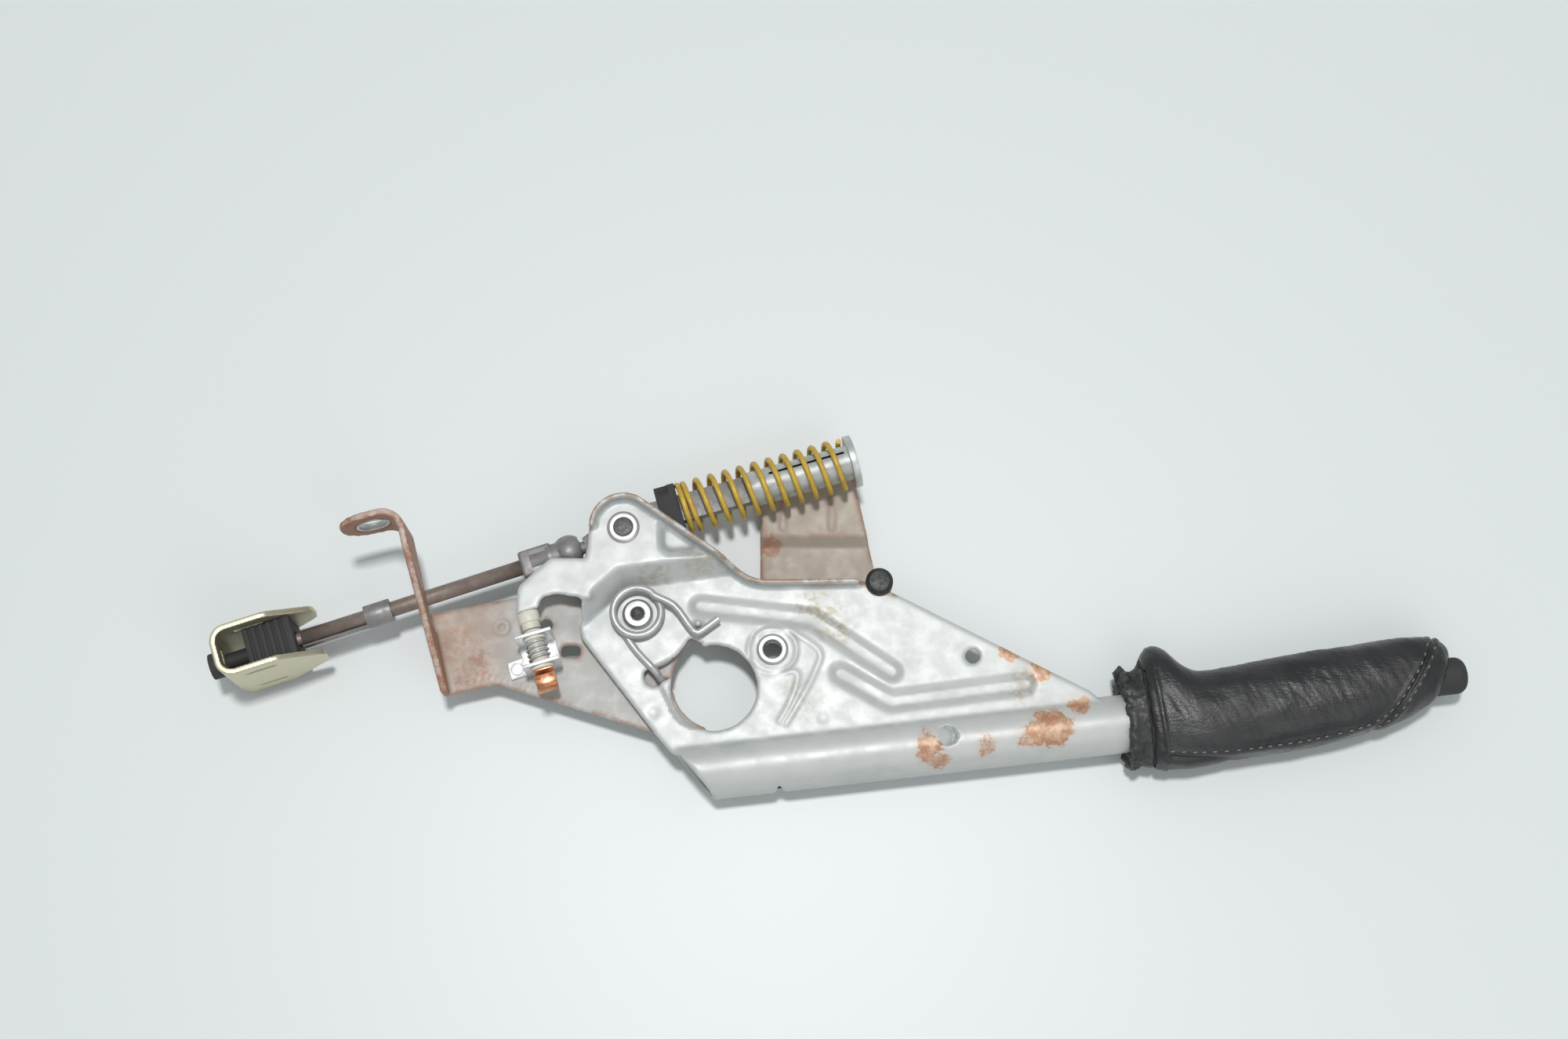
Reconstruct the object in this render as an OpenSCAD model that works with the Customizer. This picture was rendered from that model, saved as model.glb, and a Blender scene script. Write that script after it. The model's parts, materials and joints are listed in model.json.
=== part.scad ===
// Parking brake lever, lying on its side: X along the handle, Z up from the table.
// Shapes are drawn about the main pivot and then shifted to the middle of the footprint.

/* [Bracket] */
// Thickness of the bracket sheet
bracket_t = 2.7; // [2:0.1:3]
// Height of the main plate's back above the table
bracket_z = 13.5; // [12:0.5:16]
// Turn of the upright flange from the Y axis
flange_turn = 14; // [10:1:18]
// Length of the upright flange up to the ear
flange_len = 68; // [64:1:74]
// Highest edge of the flange and the ear above the table
flange_top = 51; // [48:0.5:56]
// Width of the ear across
ear_w = 24; // [22:0.5:26]
// Length of the ear from the flange to its round end
ear_len = 25; // [24:0.5:30]
// Radius of the hole through the bush in the ear
ear_bore_r = 5.3; // [4.2:0.1:5.6]
// Wall of the bush in the ear
bush_wall = 1.2; // [0.8:0.1:1.6]
// Width of the rear arm
arm_w = 45; // [40:1:48]
// Rise of the ribbed pad above the arm
pad_rise = 4; // [3:0.5:5]

/* [Ratchet] */
// Radius over the tips of the ratchet teeth
sector_r = 21; // [20:0.5:21.5]
// Depth of a ratchet tooth
tooth_depth = 2; // [1.4:0.1:2.4]
// Number of ratchet teeth
tooth_count = 13; // [10:1:15]
// Thickness of the sector and the pawl
pawl_t = 2; // [1.6:0.1:2.2]
// Gap between the pawl's tip and the tooth tips at rest
pawl_gap = 0.4; // [0.3:0.1:0.8]

/* [Lever plate] */
// Thickness of the lever sheet
plate_t = 2; // [1.6:0.1:2.2]
// Gap between the bracket and the lever sheet
lever_gap = 3.8; // [3.7:0.1:4.5]
// Rise of the zone round the clevis pin
zone_raise = 8; // [7.5:0.5:9]
// Height of the rim along the upper edge
rim_h = 4; // [2:0.5:5]
// Radius of the lobe round the clevis pin
lobe_r = 13; // [12:0.5:14]
// Radius of the large round opening
window_r = 16.2; // [14:0.2:17]
// Width of the pressed grooves
groove_w = 8.6; // [7:0.2:9.4]
// Depth of the pressed grooves
groove_depth = 1.3; // [0.8:0.1:1.5]

/* [Handle] */
// Outer radius of the handle tube
tube_r = 11; // [10.5:0.1:11.5]
// Wall of the handle tube
tube_wall = 1.8; // [1.4:0.1:2.2]
// Turn of the handle from the X axis
handle_turn = 6.5; // [5:0.5:8]
// Half of the grip's thickness, which lies on the table
grip_half = 14.5; // [14:0.1:15]
// Thickness of the leather
leather_t = 1.6; // [1:0.1:2]
// Radius of the release button
button_r = 7; // [6:0.1:7.4]
// Travel of the release button
button_travel = 4; // [3:0.5:5]
// Radius of the push rod
push_rod_r = 2.5; // [2:0.1:2.8]

/* [Rivets and pins] */
// Radius of the main pivot rivet's shank
pivot_r = 4.4; // [4:0.1:4.6]
// Radius of the hole through the main pivot rivet
pivot_hole_r = 2.5; // [2:0.1:3]
// Radius of the pawl rivet's shank
pawl_pin_r = 4.6; // [4.2:0.1:4.8]
// Radius of the hole through the pawl rivet
pawl_hole_r = 3.5; // [3:0.1:3.7]
// Radius of the clevis pin
clevis_r = 3.6; // [3:0.1:4]
// Radial clearance of the running fits
fit = 0.05; // [0.03:0.01:0.08]

/* [Pull rod] */
// Height of the pull rod's axis above the table
rod_z = 21; // [20.9:0.1:21.2]
// Radius of the pull rod
rod_r = 2.4; // [2:0.1:2.6]
// Length of the pull rod from the ball to the yoke's pin
rod_len = 112; // [108:1:120]
// Radius of the ball at the adjuster's end
ball_r = 5.6; // [5:0.1:5.8]
// Radius of the crimped socket round the ball
socket_r = 6.5; // [6.3:0.1:6.6]
// Width of the adjuster bar
bar_w = 10.4; // [9:0.2:10.4]
// Thickness of the adjuster bar
bar_t = 5; // [4:0.2:5]
// Outer radius of the tension spring
spring_r = 10.4; // [9.6:0.1:10.8]
// Wire diameter of the tension spring
spring_wire = 2.1; // [1.6:0.1:2.3]
// Turns of the tension spring
spring_turns = 12; // [8:1:14]
// Outer radius of the tension sleeve
sleeve_r = 6.8; // [6.7:0.1:7.2]
// Wall of the tension sleeve
sleeve_wall = 0.7; // [0.5:0.1:0.8]

/* [Equalizer] */
// Width of the yoke across its open side
yoke_gap = 15; // [13:0.5:17]
// Height of the yoke along Z
yoke_h = 36; // [32:1:38]
// Length of the yoke's plates
yoke_len = 36; // [32:1:40]
// Thickness of the yoke's sheet
yoke_t = 2.4; // [1.8:0.1:2.8]

/* [Switch] */
// Height of the switch axis above the table
switch_z = 29; // [28.5:0.1:29.5]
// Radius of the nylon body
switch_r = 3.3; // [3:0.1:3.6]
// Thickness of the zinc clip
clip_t = 1.2; // [0.8:0.1:1.6]

/* [Hidden] */

$fn = 64;
// A hair of overlap for cuts that pass a face
eps = 0.01;
// Gap between solids that move past each other
clear = 0.3;
// Step by which joined sheets are kept from sharing a face
inset = 0.05;
// Points on a rounded corner
corner_steps = 8;

// Middle of the footprint, measured from the main pivot
footprint_mid = [75.97, 0.82];

// Heights of the layers
bracket_front = bracket_z + bracket_t;
lever_back = bracket_front + lever_gap;
lever_front = lever_back + plate_t;
zone_back = lever_back + zone_raise;
zone_front = lever_front + zone_raise;
pawl_z = bracket_front + clear;

// Pivots in plan
clevis_at = [-5.5, 32];
pawl_at = [51, -13.5];
window_at = [29, -28];

// Handle frame: along the tube, and the tube's distance below the main pivot
handle_drop = -61;
handle_z = grip_half;
tube_end = 262;
push_rod_drop = handle_drop + 3;
push_rod_z = pawl_z + pawl_t / 2;

// Flange frame
flange_foot = [-70.5, -30];
flange_root = 24.5;
band_z = flange_top - ear_w;
ear_z = flange_top - ear_w / 2;
ear_hole_x = -ear_len / 2;
ear_bend = 9;

// Pull rod frame: the ball's centre and the two slopes
ball_at = [-26.6, 24.5];
rod_turn = 18.5;
bar_turn = 16.2;
// Point of the adjuster's axis nearest the clevis pin
bar_at = [clevis_at[0] - 0.9, clevis_at[1] + 3];
spring_start = 23;
spring_len = 67;

// Switch frame: the top of the plunger and the tilt of its axis
switch_at = [-41, -1];
switch_turn = 16.8;

// Unit vector of a vector
function unit(v) = v / norm(v);

// Left-hand normal of a plane vector
function left_of(v) = [-v[1], v[0]];

// Points of an arc round a centre
function arc(c, r, a0, a1, n = 12) = [for (k = [0:n])
    let (a = a0 + (a1 - a0) * k / n) c + r * [cos(a), sin(a)]];

// Smallest turn between two angles
function turn(a) = a > 180 ? turn(a - 360) : a < -180 ? turn(a + 360) : a;

// Points that round the corner b between a and c with radius r
function corner(a, b, c, r) = r == 0 ? [b] :
    let (u = unit(a - b), v = unit(c - b), half = acos(u * v) / 2)
    let (m = b + unit(u + v) * r / sin(half), p = b + u * r / tan(half), q = b + v * r / tan(half))
    let (a0 = atan2(p[1] - m[1], p[0] - m[0]), a1 = atan2(q[1] - m[1], q[0] - m[0]))
    arc(m, r, a0, a0 + turn(a1 - a0), corner_steps);

// Outline through corners written as [x, y, radius]
function rounded(p) = [for (i = [0:len(p) - 1])
    let (n = len(p), a = p[(i + n - 1) % n], b = p[i], c = p[(i + 1) % n])
    each corner([a[0], a[1]], [b[0], b[1]], [c[0], c[1]], b[2])];

// Path shifted sideways by d, with mitred corners
function shifted(p, d) = [for (i = [0:len(p) - 1])
    let (last = len(p) - 1)
    let (n1 = left_of(unit(i == 0 ? p[1] - p[0] : p[i] - p[i - 1])))
    let (n2 = left_of(unit(i == last ? p[last] - p[last - 1] : p[i + 1] - p[i])))
    p[i] + d * (n1 + n2) / (1 + n1 * n2)];

// Bent strip of thickness d on the left of a path
module ribbon(p, d) {
    s = shifted(p, d);
    polygon(concat(p, [for (i = [len(s) - 1:-1:0]) s[i]]));
}

// Flat sheet from an outline
module sheet(z, t) translate([0, 0, z]) linear_extrude(t) children();

// Faces of a skin over rings of m points each, closed by a cap at both ends
function skin(rings, m) = concat(
    [for (i = [0:rings - 2]) for (k = [0:m - 1])
        let (j = (k + 1) % m, a = i * m + k, b = i * m + j)
        each [[a, a + m, b + m], [a, b + m, b]]],
    [[for (k = [0:m - 1]) k], [for (k = [m - 1:-1:0]) (rings - 1) * m + k]]);

// Round wire along a path of points; ref is never along the path
module wire(path, r, ref, sides = 8) {
    last = len(path) - 1;
    points = [for (i = [0:last])
        let (t = unit(path[min(i + 1, last)] - path[max(i - 1, 0)]))
        let (n = unit(cross(ref, t)), b = cross(t, n))
        for (k = [0:sides - 1]) path[i] + r * (cos(360 * k / sides) * n + sin(360 * k / sides) * b)];
    polyhedron(points, skin(len(path), sides));
}

// Solid skinned through rings with the same number of points
module loft(rings) polyhedron([for (r = rings) each r], skin(len(rings), len(rings[0])));

// Frames in which the sub-assemblies are drawn
module flange_frame() translate([flange_foot[0], flange_foot[1], 0]) rotate(flange_turn) children();
module handle_frame() rotate(handle_turn) translate([0, handle_drop, 0]) children();
module push_rod_frame() rotate(handle_turn) translate([0, push_rod_drop, push_rod_z]) children();
module bar_frame() translate([bar_at[0], bar_at[1], rod_z]) rotate(bar_turn) children();
module rod_frame() translate([ball_at[0], ball_at[1], rod_z]) rotate(rod_turn) children();
module switch_frame() translate([switch_at[0], switch_at[1], switch_z]) rotate(switch_turn - 90) children();
module in_row_frame() translate([-footprint_mid[0], -footprint_mid[1], 0]) children();

// Cylinder along X from x0 to x1
module rod_x(x0, x1, r) translate([x0, 0, 0]) rotate([0, 90, 0]) cylinder(h = x1 - x0, r = r);

// Bracket

// Place where the return spring's lower leg hooks into the bracket, and its wire
spring_hook = [9.4, -25.4];
return_wire_r = 1.3;

// Main plate behind the lever, with the round cut behind the large opening
module bracket_plate() {
    cut_r = window_r + 2.3;
    notch_r = return_wire_r + clear + 0.1;
    difference() {
        polygon(rounded([[-71.86, -29.93, 0], [-53.7, -25.8, 5], [9, -45, 4], [26, -45, 2], [26, 12, 0],
            [20, 15, 3], [11, 21, 3], [2, 14, 3], [-20, 11.5, 6], [-40, 9.5, 6], [-79.74, 1.7, 0]]));
        translate([window_at[0] + 2.5, window_at[1] + 3.5]) circle(cut_r);
        translate([-35.1, -2.8]) circle(2.4);
        translate([-25.6, -12.8]) square([7, 4.4], center = true);
        translate(spring_hook) circle(notch_r);
        translate([spring_hook[0], spring_hook[1] - notch_r]) square([7, 2 * notch_r]);
        circle(pivot_r);
    }
}

// Joggled bridge that takes the rear arm back to the table
module bracket_bridge() {
    bridge_y = [-7, 12];
    joggle = [24, 38];
    bend = [[joggle[0] - 4, bracket_z], [joggle[0], bracket_z], [joggle[1], 0], [joggle[1] + 10, 0]];
    translate([0, bridge_y[1], 0]) rotate([90, 0, 0]) linear_extrude(bridge_y[1] - bridge_y[0])
        ribbon(bend, bracket_t);
}

// Ribbed pad with a step up from the arm, as a Z section extruded across the arm
module bracket_pad() {
    pad_y = 32;
    pad_end = 58;
    rib_x = [9, 28];
    step = [[pad_y - 1, 0], [pad_y, 0], [pad_y + pad_rise, pad_rise], [pad_end, pad_rise]];
    rotate([90, 0, 90]) linear_extrude(arm_w) ribbon(step, bracket_t);
    for (x = rib_x)
        translate([x, pad_y + pad_rise + 1, pad_rise + bracket_t - 1.4]) rotate([-90, 0, 0])
            intersection() {
                cylinder(h = 14, r = 2.2);
                translate([-3, -3, 0]) cube([6, 4, 14]);
            }
}

// Rear arm at the table's level with its slanted outer edge
module bracket_arm() {
    arm_x = 46;
    arm_end = arm_x + arm_w;
    slant = 11;
    intersection() {
        union() {
            sheet(0, bracket_t)
                polygon([[38, -7], [arm_end, -7], [arm_end, 33], [arm_x, 33], [arm_x, 12], [38, 12]]);
            translate([arm_x, 0, 0]) bracket_pad();
        }
        sheet(-eps, 30)
            polygon([[30, -10], [arm_end, -10], [arm_end, 20], [arm_end - slant, 71], [30, 71]]);
    }
}

// Upright flange and ear, bent from one strip
module bracket_flange() {
    strip = rounded([[0, 0, 0], [0, flange_len, ear_bend], [-ear_len, flange_len, 0]]);
    rise = 24;
    full = 52;
    foot_z = bracket_z + inset;
    round_x = -ear_len + ear_w / 2;
    flange_frame() difference() {
        intersection() {
            sheet(foot_z, flange_top - foot_z) ribbon(strip, bracket_t);
            rotate([90, 0, 90]) translate([0, 0, -ear_len - 5]) linear_extrude(ear_len + 10)
                polygon([[-1, foot_z - 1], [flange_root, foot_z - 1], [flange_root + 2, band_z],
                    [flange_len + 5, band_z], [flange_len + 5, flange_top], [full, flange_top], [-1, rise]]);
            union() {
                translate([round_x, -5, bracket_z]) cube([ear_len + 5, flange_len + 10, flange_top]);
                translate([round_x, flange_len + 5, ear_z]) rotate([90, 0, 0])
                    cylinder(h = 2 * bracket_t + 10, r = ear_w / 2);
            }
        }
        translate([ear_hole_x, flange_len + 5, ear_z]) rotate([90, 0, 0])
            cylinder(h = 2 * bracket_t + 10, r = ear_bore_r + bush_wall);
    }
}

module mounting_bracket() color("#9a7f70") {
    sheet(bracket_z, bracket_t) bracket_plate();
    bracket_bridge();
    bracket_arm();
    bracket_flange();
}

module ear_bush() color("#a8a8a6") flange_frame()
    translate([ear_hole_x, flange_len, ear_z]) rotate([90, 0, 0]) difference() {
        cylinder(h = bracket_t, r = ear_bore_r + bush_wall);
        translate([0, 0, -eps]) cylinder(h = bracket_t + 2 * eps, r = ear_bore_r);
    }

// Ratchet

// Angles of the two rivets that hold the sector
rivet_turns = [18, 50];

// Sector plate with saw teeth on its outer edge
module sector_outline() {
    tooth_a0 = 6;
    tooth_span = 42;
    pitch = tooth_span / tooth_count;
    root_r = sector_r - tooth_depth;
    land_end = 60;
    teeth = [for (k = [0:tooth_count - 1]) let (a = tooth_a0 + k * pitch)
        each [root_r * [cos(a), sin(a)], sector_r * [cos(a + pitch * 0.85), sin(a + pitch * 0.85)]]];
    difference() {
        polygon(concat(teeth, arc([0, 0], sector_r, tooth_a0 + tooth_span, land_end),
            arc([0, 0], 8, land_end, tooth_a0)));
        for (a = rivet_turns) translate(13 * [cos(a), sin(a)]) circle(2);
    }
}

module ratchet_sector() color("#77787a") sheet(bracket_front, pawl_t) sector_outline();

module sector_rivets() color("#8c8d8f")
    for (a = rivet_turns) translate([13 * cos(a), 13 * sin(a), bracket_front]) {
        cylinder(h = pawl_t + 0.8, r = 2);
        translate([0, 0, pawl_t]) cylinder(h = 0.8, r1 = 3.4, r2 = 2.8);
    }

// Hollow rivet on which the lever turns
module pivot_rivet() color("#b4b4b2") difference() {
    union() {
        translate([0, 0, bracket_z]) cylinder(h = lever_front - bracket_z + 0.1, r = pivot_r);
        translate([0, 0, bracket_z - 1.6]) cylinder(h = 1.6, r = pivot_r + 2);
        translate([0, 0, lever_front + 0.1]) rotate_extrude()
            polygon([[0, 0], [5.8, 0], [5.8, 1], [4.9, 2.1], [3.4, 2.1], [0, 1.6]]);
    }
    translate([0, 0, bracket_z - 2]) cylinder(h = 20, r = pivot_hole_r);
}

// Spacer between the bracket and the lever, which the sector's heel clears
module pivot_spacer() color("#8f9092") sheet(bracket_front, lever_gap - 0.1) difference() {
    circle(7.4);
    circle(pivot_r);
}

// Torsion spring with one leg on the lever's lug and the other hooked on the bracket
module return_spring() {
    coil_r = 9;
    z0 = lever_front + return_wire_r + clear;
    rise = 2 * return_wire_r + 0.15;
    coil = [for (a = [235:-15:-320]) let (k = (235 - a) / 360)
        [coil_r * cos(a), coil_r * sin(a), z0 + rise * k]];
    upper = [[14, 2.2, z0 + rise * 1.5], [19.2, -4.6, z0 + rise * 1.2], [21.4, -7.4, z0 + rise],
        [24, -7.6, z0 + rise], [30.7, -2.6, z0 + rise]];
    lower = [[spring_hook[0], spring_hook[1], bracket_front - 1.2], [9.2, -25, bracket_front + 1.5],
        [8.4, -23.8, lever_back + 0.2], [6.6, -21.6, z0 + 0.2], [0, -14.6, z0]];
    color("#a9aaa8") wire(concat(lower, coil, upper), return_wire_r, [0.35, 0.25, 1]);
}

// Warning switch

// Zinc clip: a base on the bracket and two walls with holes for the body
module switch_bracket() color("#c9cccd") switch_frame() {
    base_z = bracket_front - switch_z;
    wall_x = [8.6, 20];
    wall_h = 5.2 - base_z;
    difference() {
        union() {
            translate([wall_x[0], -7, base_z]) cube([wall_x[1] - wall_x[0] + clip_t, 14, clip_t]);
            translate([13.5, -13, base_z]) cube([7, 7, clip_t]);
            for (x = wall_x) translate([x, -7, base_z]) cube([clip_t, 14, wall_h]);
        }
        for (x = wall_x) rod_x(x - 1, x + clip_t + 1, switch_r + fit);
        translate([17, -10, base_z - 1]) cylinder(h = 4, r = 1.5);
    }
}

module switch_rivet() color("#d4d6d6") switch_frame() translate([17, -10, bracket_front - switch_z]) {
    cylinder(h = clip_t + 0.8, r = 1.5);
    translate([0, 0, clip_t]) cylinder(h = 0.8, r = 2.4);
}

// Nylon body held between the clip's walls, with snap rings outside them
module switch_body() color("#dfddcf") switch_frame() difference() {
    union() {
        rod_x(7.2, 22.4, switch_r);
        rod_x(9.8, 11, switch_r + 0.9);
        rod_x(21.2, 22.4, switch_r + 1);
    }
    rod_x(7, 19, 2 + fit);
}

module switch_spring() color("#b9bab8") switch_frame() {
    wire_r = 0.5;
    coil_r = switch_r + wire_r + 0.1;
    coil = [for (k = [0:64]) let (a = k * 22.5) [11.6 + k * 0.12, coil_r * cos(a), coil_r * sin(a)]];
    wire(coil, wire_r, [1, 0, 0], 6);
}

// Copper strap looped below the clip
module contact_strap() color("#b9724a") switch_frame() {
    loop = rounded([[22.4, 3.2, 0], [22.4, -4, 1.2], [31, -4, 3], [31, 4, 3], [25, 4, 0]]);
    strap_w = 7.6;
    rotate([90, 0, 0]) translate([0, 0, -strap_w / 2]) linear_extrude(strap_w) ribbon(loop, 0.9);
}

// Sliding plunger that rests on the lever's tab
module switch_plunger() color("#e6e4d6") switch_frame() {
    rod_x(0, 4.2, 4.1);
    rod_x(4.2, 6.8, 3.5);
    rod_x(6.8, 17.5, 2);
}

// Lever plate

// Corners of the plate's outline, from the tab's side round the lobe to the handle
upper_edge = concat(arc(clevis_at, lobe_r, 180, 56, 14),
    rounded([[2, 42.5, 0], [44, 13, 14], [84, 13.4, 0]]));

module plate_outline() polygon(concat([[-19.5, 20]], upper_edge,
    rounded([[86, 13.2, 0], [97, 8.5, 3], [171, -29.5, 8], [176, -35, 0], [16, -56, 0], [9, -48, 3],
        [-22.2, -8, 8], [-21, 2, 0]])));

// Creases along the foot of the raised zone: a point on each and its slope
creases = [[[-18, -1.9], 42.4], [[-4.4, 10.3], 7.9]];

// Space under slopes that start at height z and level out when they have risen by the zone's height
module crease_wedge(z) intersection() {
    run = 6.5;
    far = 90;
    below = 12;
    steep = zone_raise / run;
    translate([-100, -100, z - below]) cube([300, 200, below + zone_raise]);
    for (c = creases)
        translate([c[0][0], c[0][1], 0]) rotate(c[1]) rotate([90, 0, 90]) translate([0, 0, -60])
            linear_extrude(130)
                polygon([[-far, z - far * steep], [far, z - far * steep], [far, z + far * steep]]);
}

// Outline of a round-ended stroke of half width h along a path
function stroke(p, h) =
    let (last = len(p) - 1, l = shifted(p, h), r = shifted(p, -h))
    let (d0 = p[1] - p[0], d1 = p[last] - p[last - 1], a0 = atan2(d0[1], d0[0]), a1 = atan2(d1[1], d1[0]))
    concat(arc(p[0], h, a0 + 90, a0 + 270, 10), [for (i = [1:last - 1]) r[i]],
        arc(p[last], h, a1 - 90, a1 + 90, 10), [for (i = [last - 1:-1:1]) l[i]]);

grooves = [[[23.5, 3.4], [66, -1.6], [96, -21.8]], [[76.5, -22.4], [95.5, -33.2], [146, -26.6]]];

// Steps of a groove's side: share of its half width and of its depth
groove_steps = [[1, 0.3], [0.86, 0.65], [0.66, 0.9], [0.4, 1]];

module groove_cut() for (q = groove_steps)
    sheet(lever_front - q[1] * groove_depth, plate_t)
        for (g = grooves) polygon(stroke(g, q[0] * groove_w / 2));

module groove_back() for (g = grooves)
    sheet(lever_back - groove_depth * 0.7, plate_t * 0.6) polygon(stroke(g, groove_w * 0.38));

// Large opening: the round hole, the kidney slot round the pivot and the hook's notch
module window_outline() {
    kidney = [21.6, 27];
    translate(window_at) circle(window_r);
    difference() {
        intersection() {
            circle(kidney[1]);
            polygon([[0, 0], [40, -18], [40, -60], [12, -60], [5, -40]]);
        }
        circle(kidney[0]);
    }
    translate([6.6, -25]) circle(2.6);
}

// Tab that rests on the switch plunger
module tab_outline() polygon(rounded([[-17, 20.1, 0], [-33, 20.4, 4], [-45, 9, 4], [-45.3, -1.9, 0],
    [-37, 0.6, 0], [-35.6, 5, 2], [-30, 6.2, 2], [-17, 4, 0]]));

// Lug that the return spring's upper leg pushes
module spring_lug() translate([23, -4.6, lever_back + plate_t / 2]) cylinder(h = 8, r = 1.3);

// Space below the pressed face that lies d above the sheet's back, rising at the creases
module pressed_space(d) {
    translate([-60, -80, lever_back]) cube([260, 150, d]);
    crease_wedge(lever_back + d);
}

// Layer of the pressing between its back and the face d above it
module pressed_layer(d) difference() {
    pressed_space(d);
    crease_wedge(lever_back);
}

// Sheet with its raised zone, rims, grooves and tab
module plate_shell() {
    pocket = rounded([[8.5, 22.4, 4], [8.5, 35.2, 3], [25, 23.6, 2]]);
    pocket_depth = plate_t * 0.6;
    turned_back = 2.6;
    full_h = zone_raise + plate_t + rim_h + 1;
    difference() {
        union() {
            intersection() {
                sheet(lever_back - 1, full_h) plate_outline();
                pressed_layer(plate_t);
            }
            intersection() {
                sheet(lever_back - 0.5, full_h) ribbon(shifted(upper_edge, -inset), -plate_t);
                pressed_layer(plate_t + rim_h);
            }
            sheet(lever_back - turned_back, turned_back + plate_t / 2)
                ribbon(rounded([[-20.4, -9.4, 0], [9.2, -46.6, 2], [10.4, -48, 0]]), plate_t);
            groove_back();
        }
        sheet(zone_front - pocket_depth, full_h) polygon(pocket);
        groove_cut();
    }
    sheet(zone_back + inset, plate_t - 2 * inset) tab_outline();
}

// Tube rolled along the lower edge, cut at a slant where the plate begins
module handle_tube() handle_frame() translate([0, 0, handle_z]) difference() {
    rod_x(5, tube_end, tube_r);
    translate([14, 0, -20]) rotate(34.5) translate([-60, -40, 0]) cube([60, 80, 40]);
    translate([46, -tube_r, -20]) cylinder(h = 40, r = 1.6);
}

module tube_bore() handle_frame() translate([0, 0, handle_z]) rod_x(0, tube_end + 1, tube_r - tube_wall);

// Slot through which the pawl's lower arm reaches the push rod
module pawl_slot() rotate(handle_turn)
    translate([39, handle_drop, bracket_z]) cube([20, tube_r + 6, lever_back - bracket_z - inset]);

module lever_plate() color("#c9ccca") difference() {
    union() {
        plate_shell();
        spring_lug();
        handle_tube();
    }
    tube_bore();
    pawl_slot();
    translate([0, 0, lever_back - 5]) cylinder(h = 10, r = pivot_r + fit);
    translate([pawl_at[0], pawl_at[1], lever_back - 5]) cylinder(h = 10, r = pawl_pin_r);
    translate([clevis_at[0], clevis_at[1], zone_back - 5]) cylinder(h = 10, r = clevis_r);
    translate([126.5, -16, lever_back - 5]) cylinder(h = 10, r = 2.7);
    sheet(lever_back - 5, 10) window_outline();
    for (p = [[6.7, -37.4], [70, -39.5]]) translate([p[0], p[1], lever_front - 0.3]) cylinder(h = 1, r = 2.4);
}

// Rubber stop pushed on the plate's upper edge
module bump_stop() color("#2b2b2c") translate([91.5, 12.4, 0]) difference() {
    union() {
        translate([0, 0, lever_back - 1.6]) cylinder(h = plate_t + 3.8, r = 5.2);
        translate([0, 0, lever_front + 2.2]) cylinder(h = 1.2, r1 = 5.2, r2 = 3.8);
    }
    translate([-91.5, -12.4, lever_back]) linear_extrude(plate_t) plate_outline();
}

module pawl_rivet() color("#b4b4b2") translate([pawl_at[0], pawl_at[1], 0]) difference() {
    union() {
        translate([0, 0, pawl_z]) cylinder(h = lever_front - pawl_z, r = pawl_pin_r);
        translate([0, 0, lever_front]) rotate_extrude()
            polygon([[0, 0], [6, 0], [6, 0.5], [5.2, 1.3], [4.2, 1.3], [0, 0.9]]);
        translate([0, 0, pawl_z + pawl_t + 0.1]) cylinder(h = lever_back - pawl_z - pawl_t - 0.1, r = 6.4);
    }
    translate([0, 0, pawl_z - 1]) cylinder(h = 20, r = pawl_hole_r);
}

// Clevis pin with its head behind the adjuster's eye
module clevis_pin() color("#8b8c8e") translate([clevis_at[0], clevis_at[1], 0]) {
    head_z = rod_z - bar_t / 2 - 0.1;
    translate([0, 0, head_z]) cylinder(h = zone_front + 1.5 - head_z, r = clevis_r);
    translate([0, 0, head_z - 2]) cylinder(h = 2, r = clevis_r + 2.2);
}

module pin_retainer() color("#a3a4a4") translate([clevis_at[0], clevis_at[1], zone_front]) difference() {
    rotate_extrude() polygon([[0, 0], [6.2, 0], [6.2, 0.6], [5.2, 1.3], [0, 1.3]]);
    translate([0, 0, -1]) cylinder(h = 4, r = clevis_r);
}

// Grip

// Sections of the grip: place along the tube, top, bottom and half width
grip_sections = [[186, 23.5, -18.2, 0.9], [188.5, 26.8, -19, 0.96], [192, 28.6, -19.4, 0.99],
    [196.5, 26.4, -19.3, 1], [201, 20.6, -19.2, 1], [206, 16.8, -19, 1], [212, 16.2, -18.7, 1],
    [226, 17.4, -17.9, 1], [250, 19.4, -16.2, 1], [272, 20.2, -13.4, 0.99], [286, 20.6, -9.8, 0.96],
    [294, 20.4, -5.6, 0.88], [299.5, 18.8, -0.6, 0.72], [303, 15.6, 5, 0.42]];

// Ring of a grip section, drawn in by d all round
function grip_ring(s, d, n = 28) = [for (k = [0:n - 1])
    let (a = 360 * k / n, mid = (s[1] + s[2]) / 2, h = (s[1] - s[2]) / 2 - d, w = grip_half * s[3] - d)
    let (c = cos(a), q = sin(a))
    [s[0], mid + h * sign(q) * pow(abs(q), 0.85), -w * sign(c) * pow(abs(c), 0.85)]];

// Solid of the grip, drawn in by d; both ends can be moved along the tube
module grip_solid(d, d_start = 0, d_end = 0) {
    last = len(grip_sections) - 1;
    rings = [for (i = [0:last]) let (s = grip_sections[i])
        grip_ring([s[0] + (i == 0 ? d_start : i == last ? -d_end : 0), s[1], s[2], s[3]], d)];
    handle_frame() translate([0, 0, handle_z]) loft(rings);
}

// Button's axis above the tube's axis
button_rise = 4;
button_start = 278;
button_end = 309;
button_seat = 274;

module grip_leather() color("#1d1d1f") difference() {
    grip_solid(0);
    grip_solid(leather_t, -eps, leather_t);
    handle_frame() translate([0, button_rise, handle_z]) rod_x(280, 320, button_r + clear);
}

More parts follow.
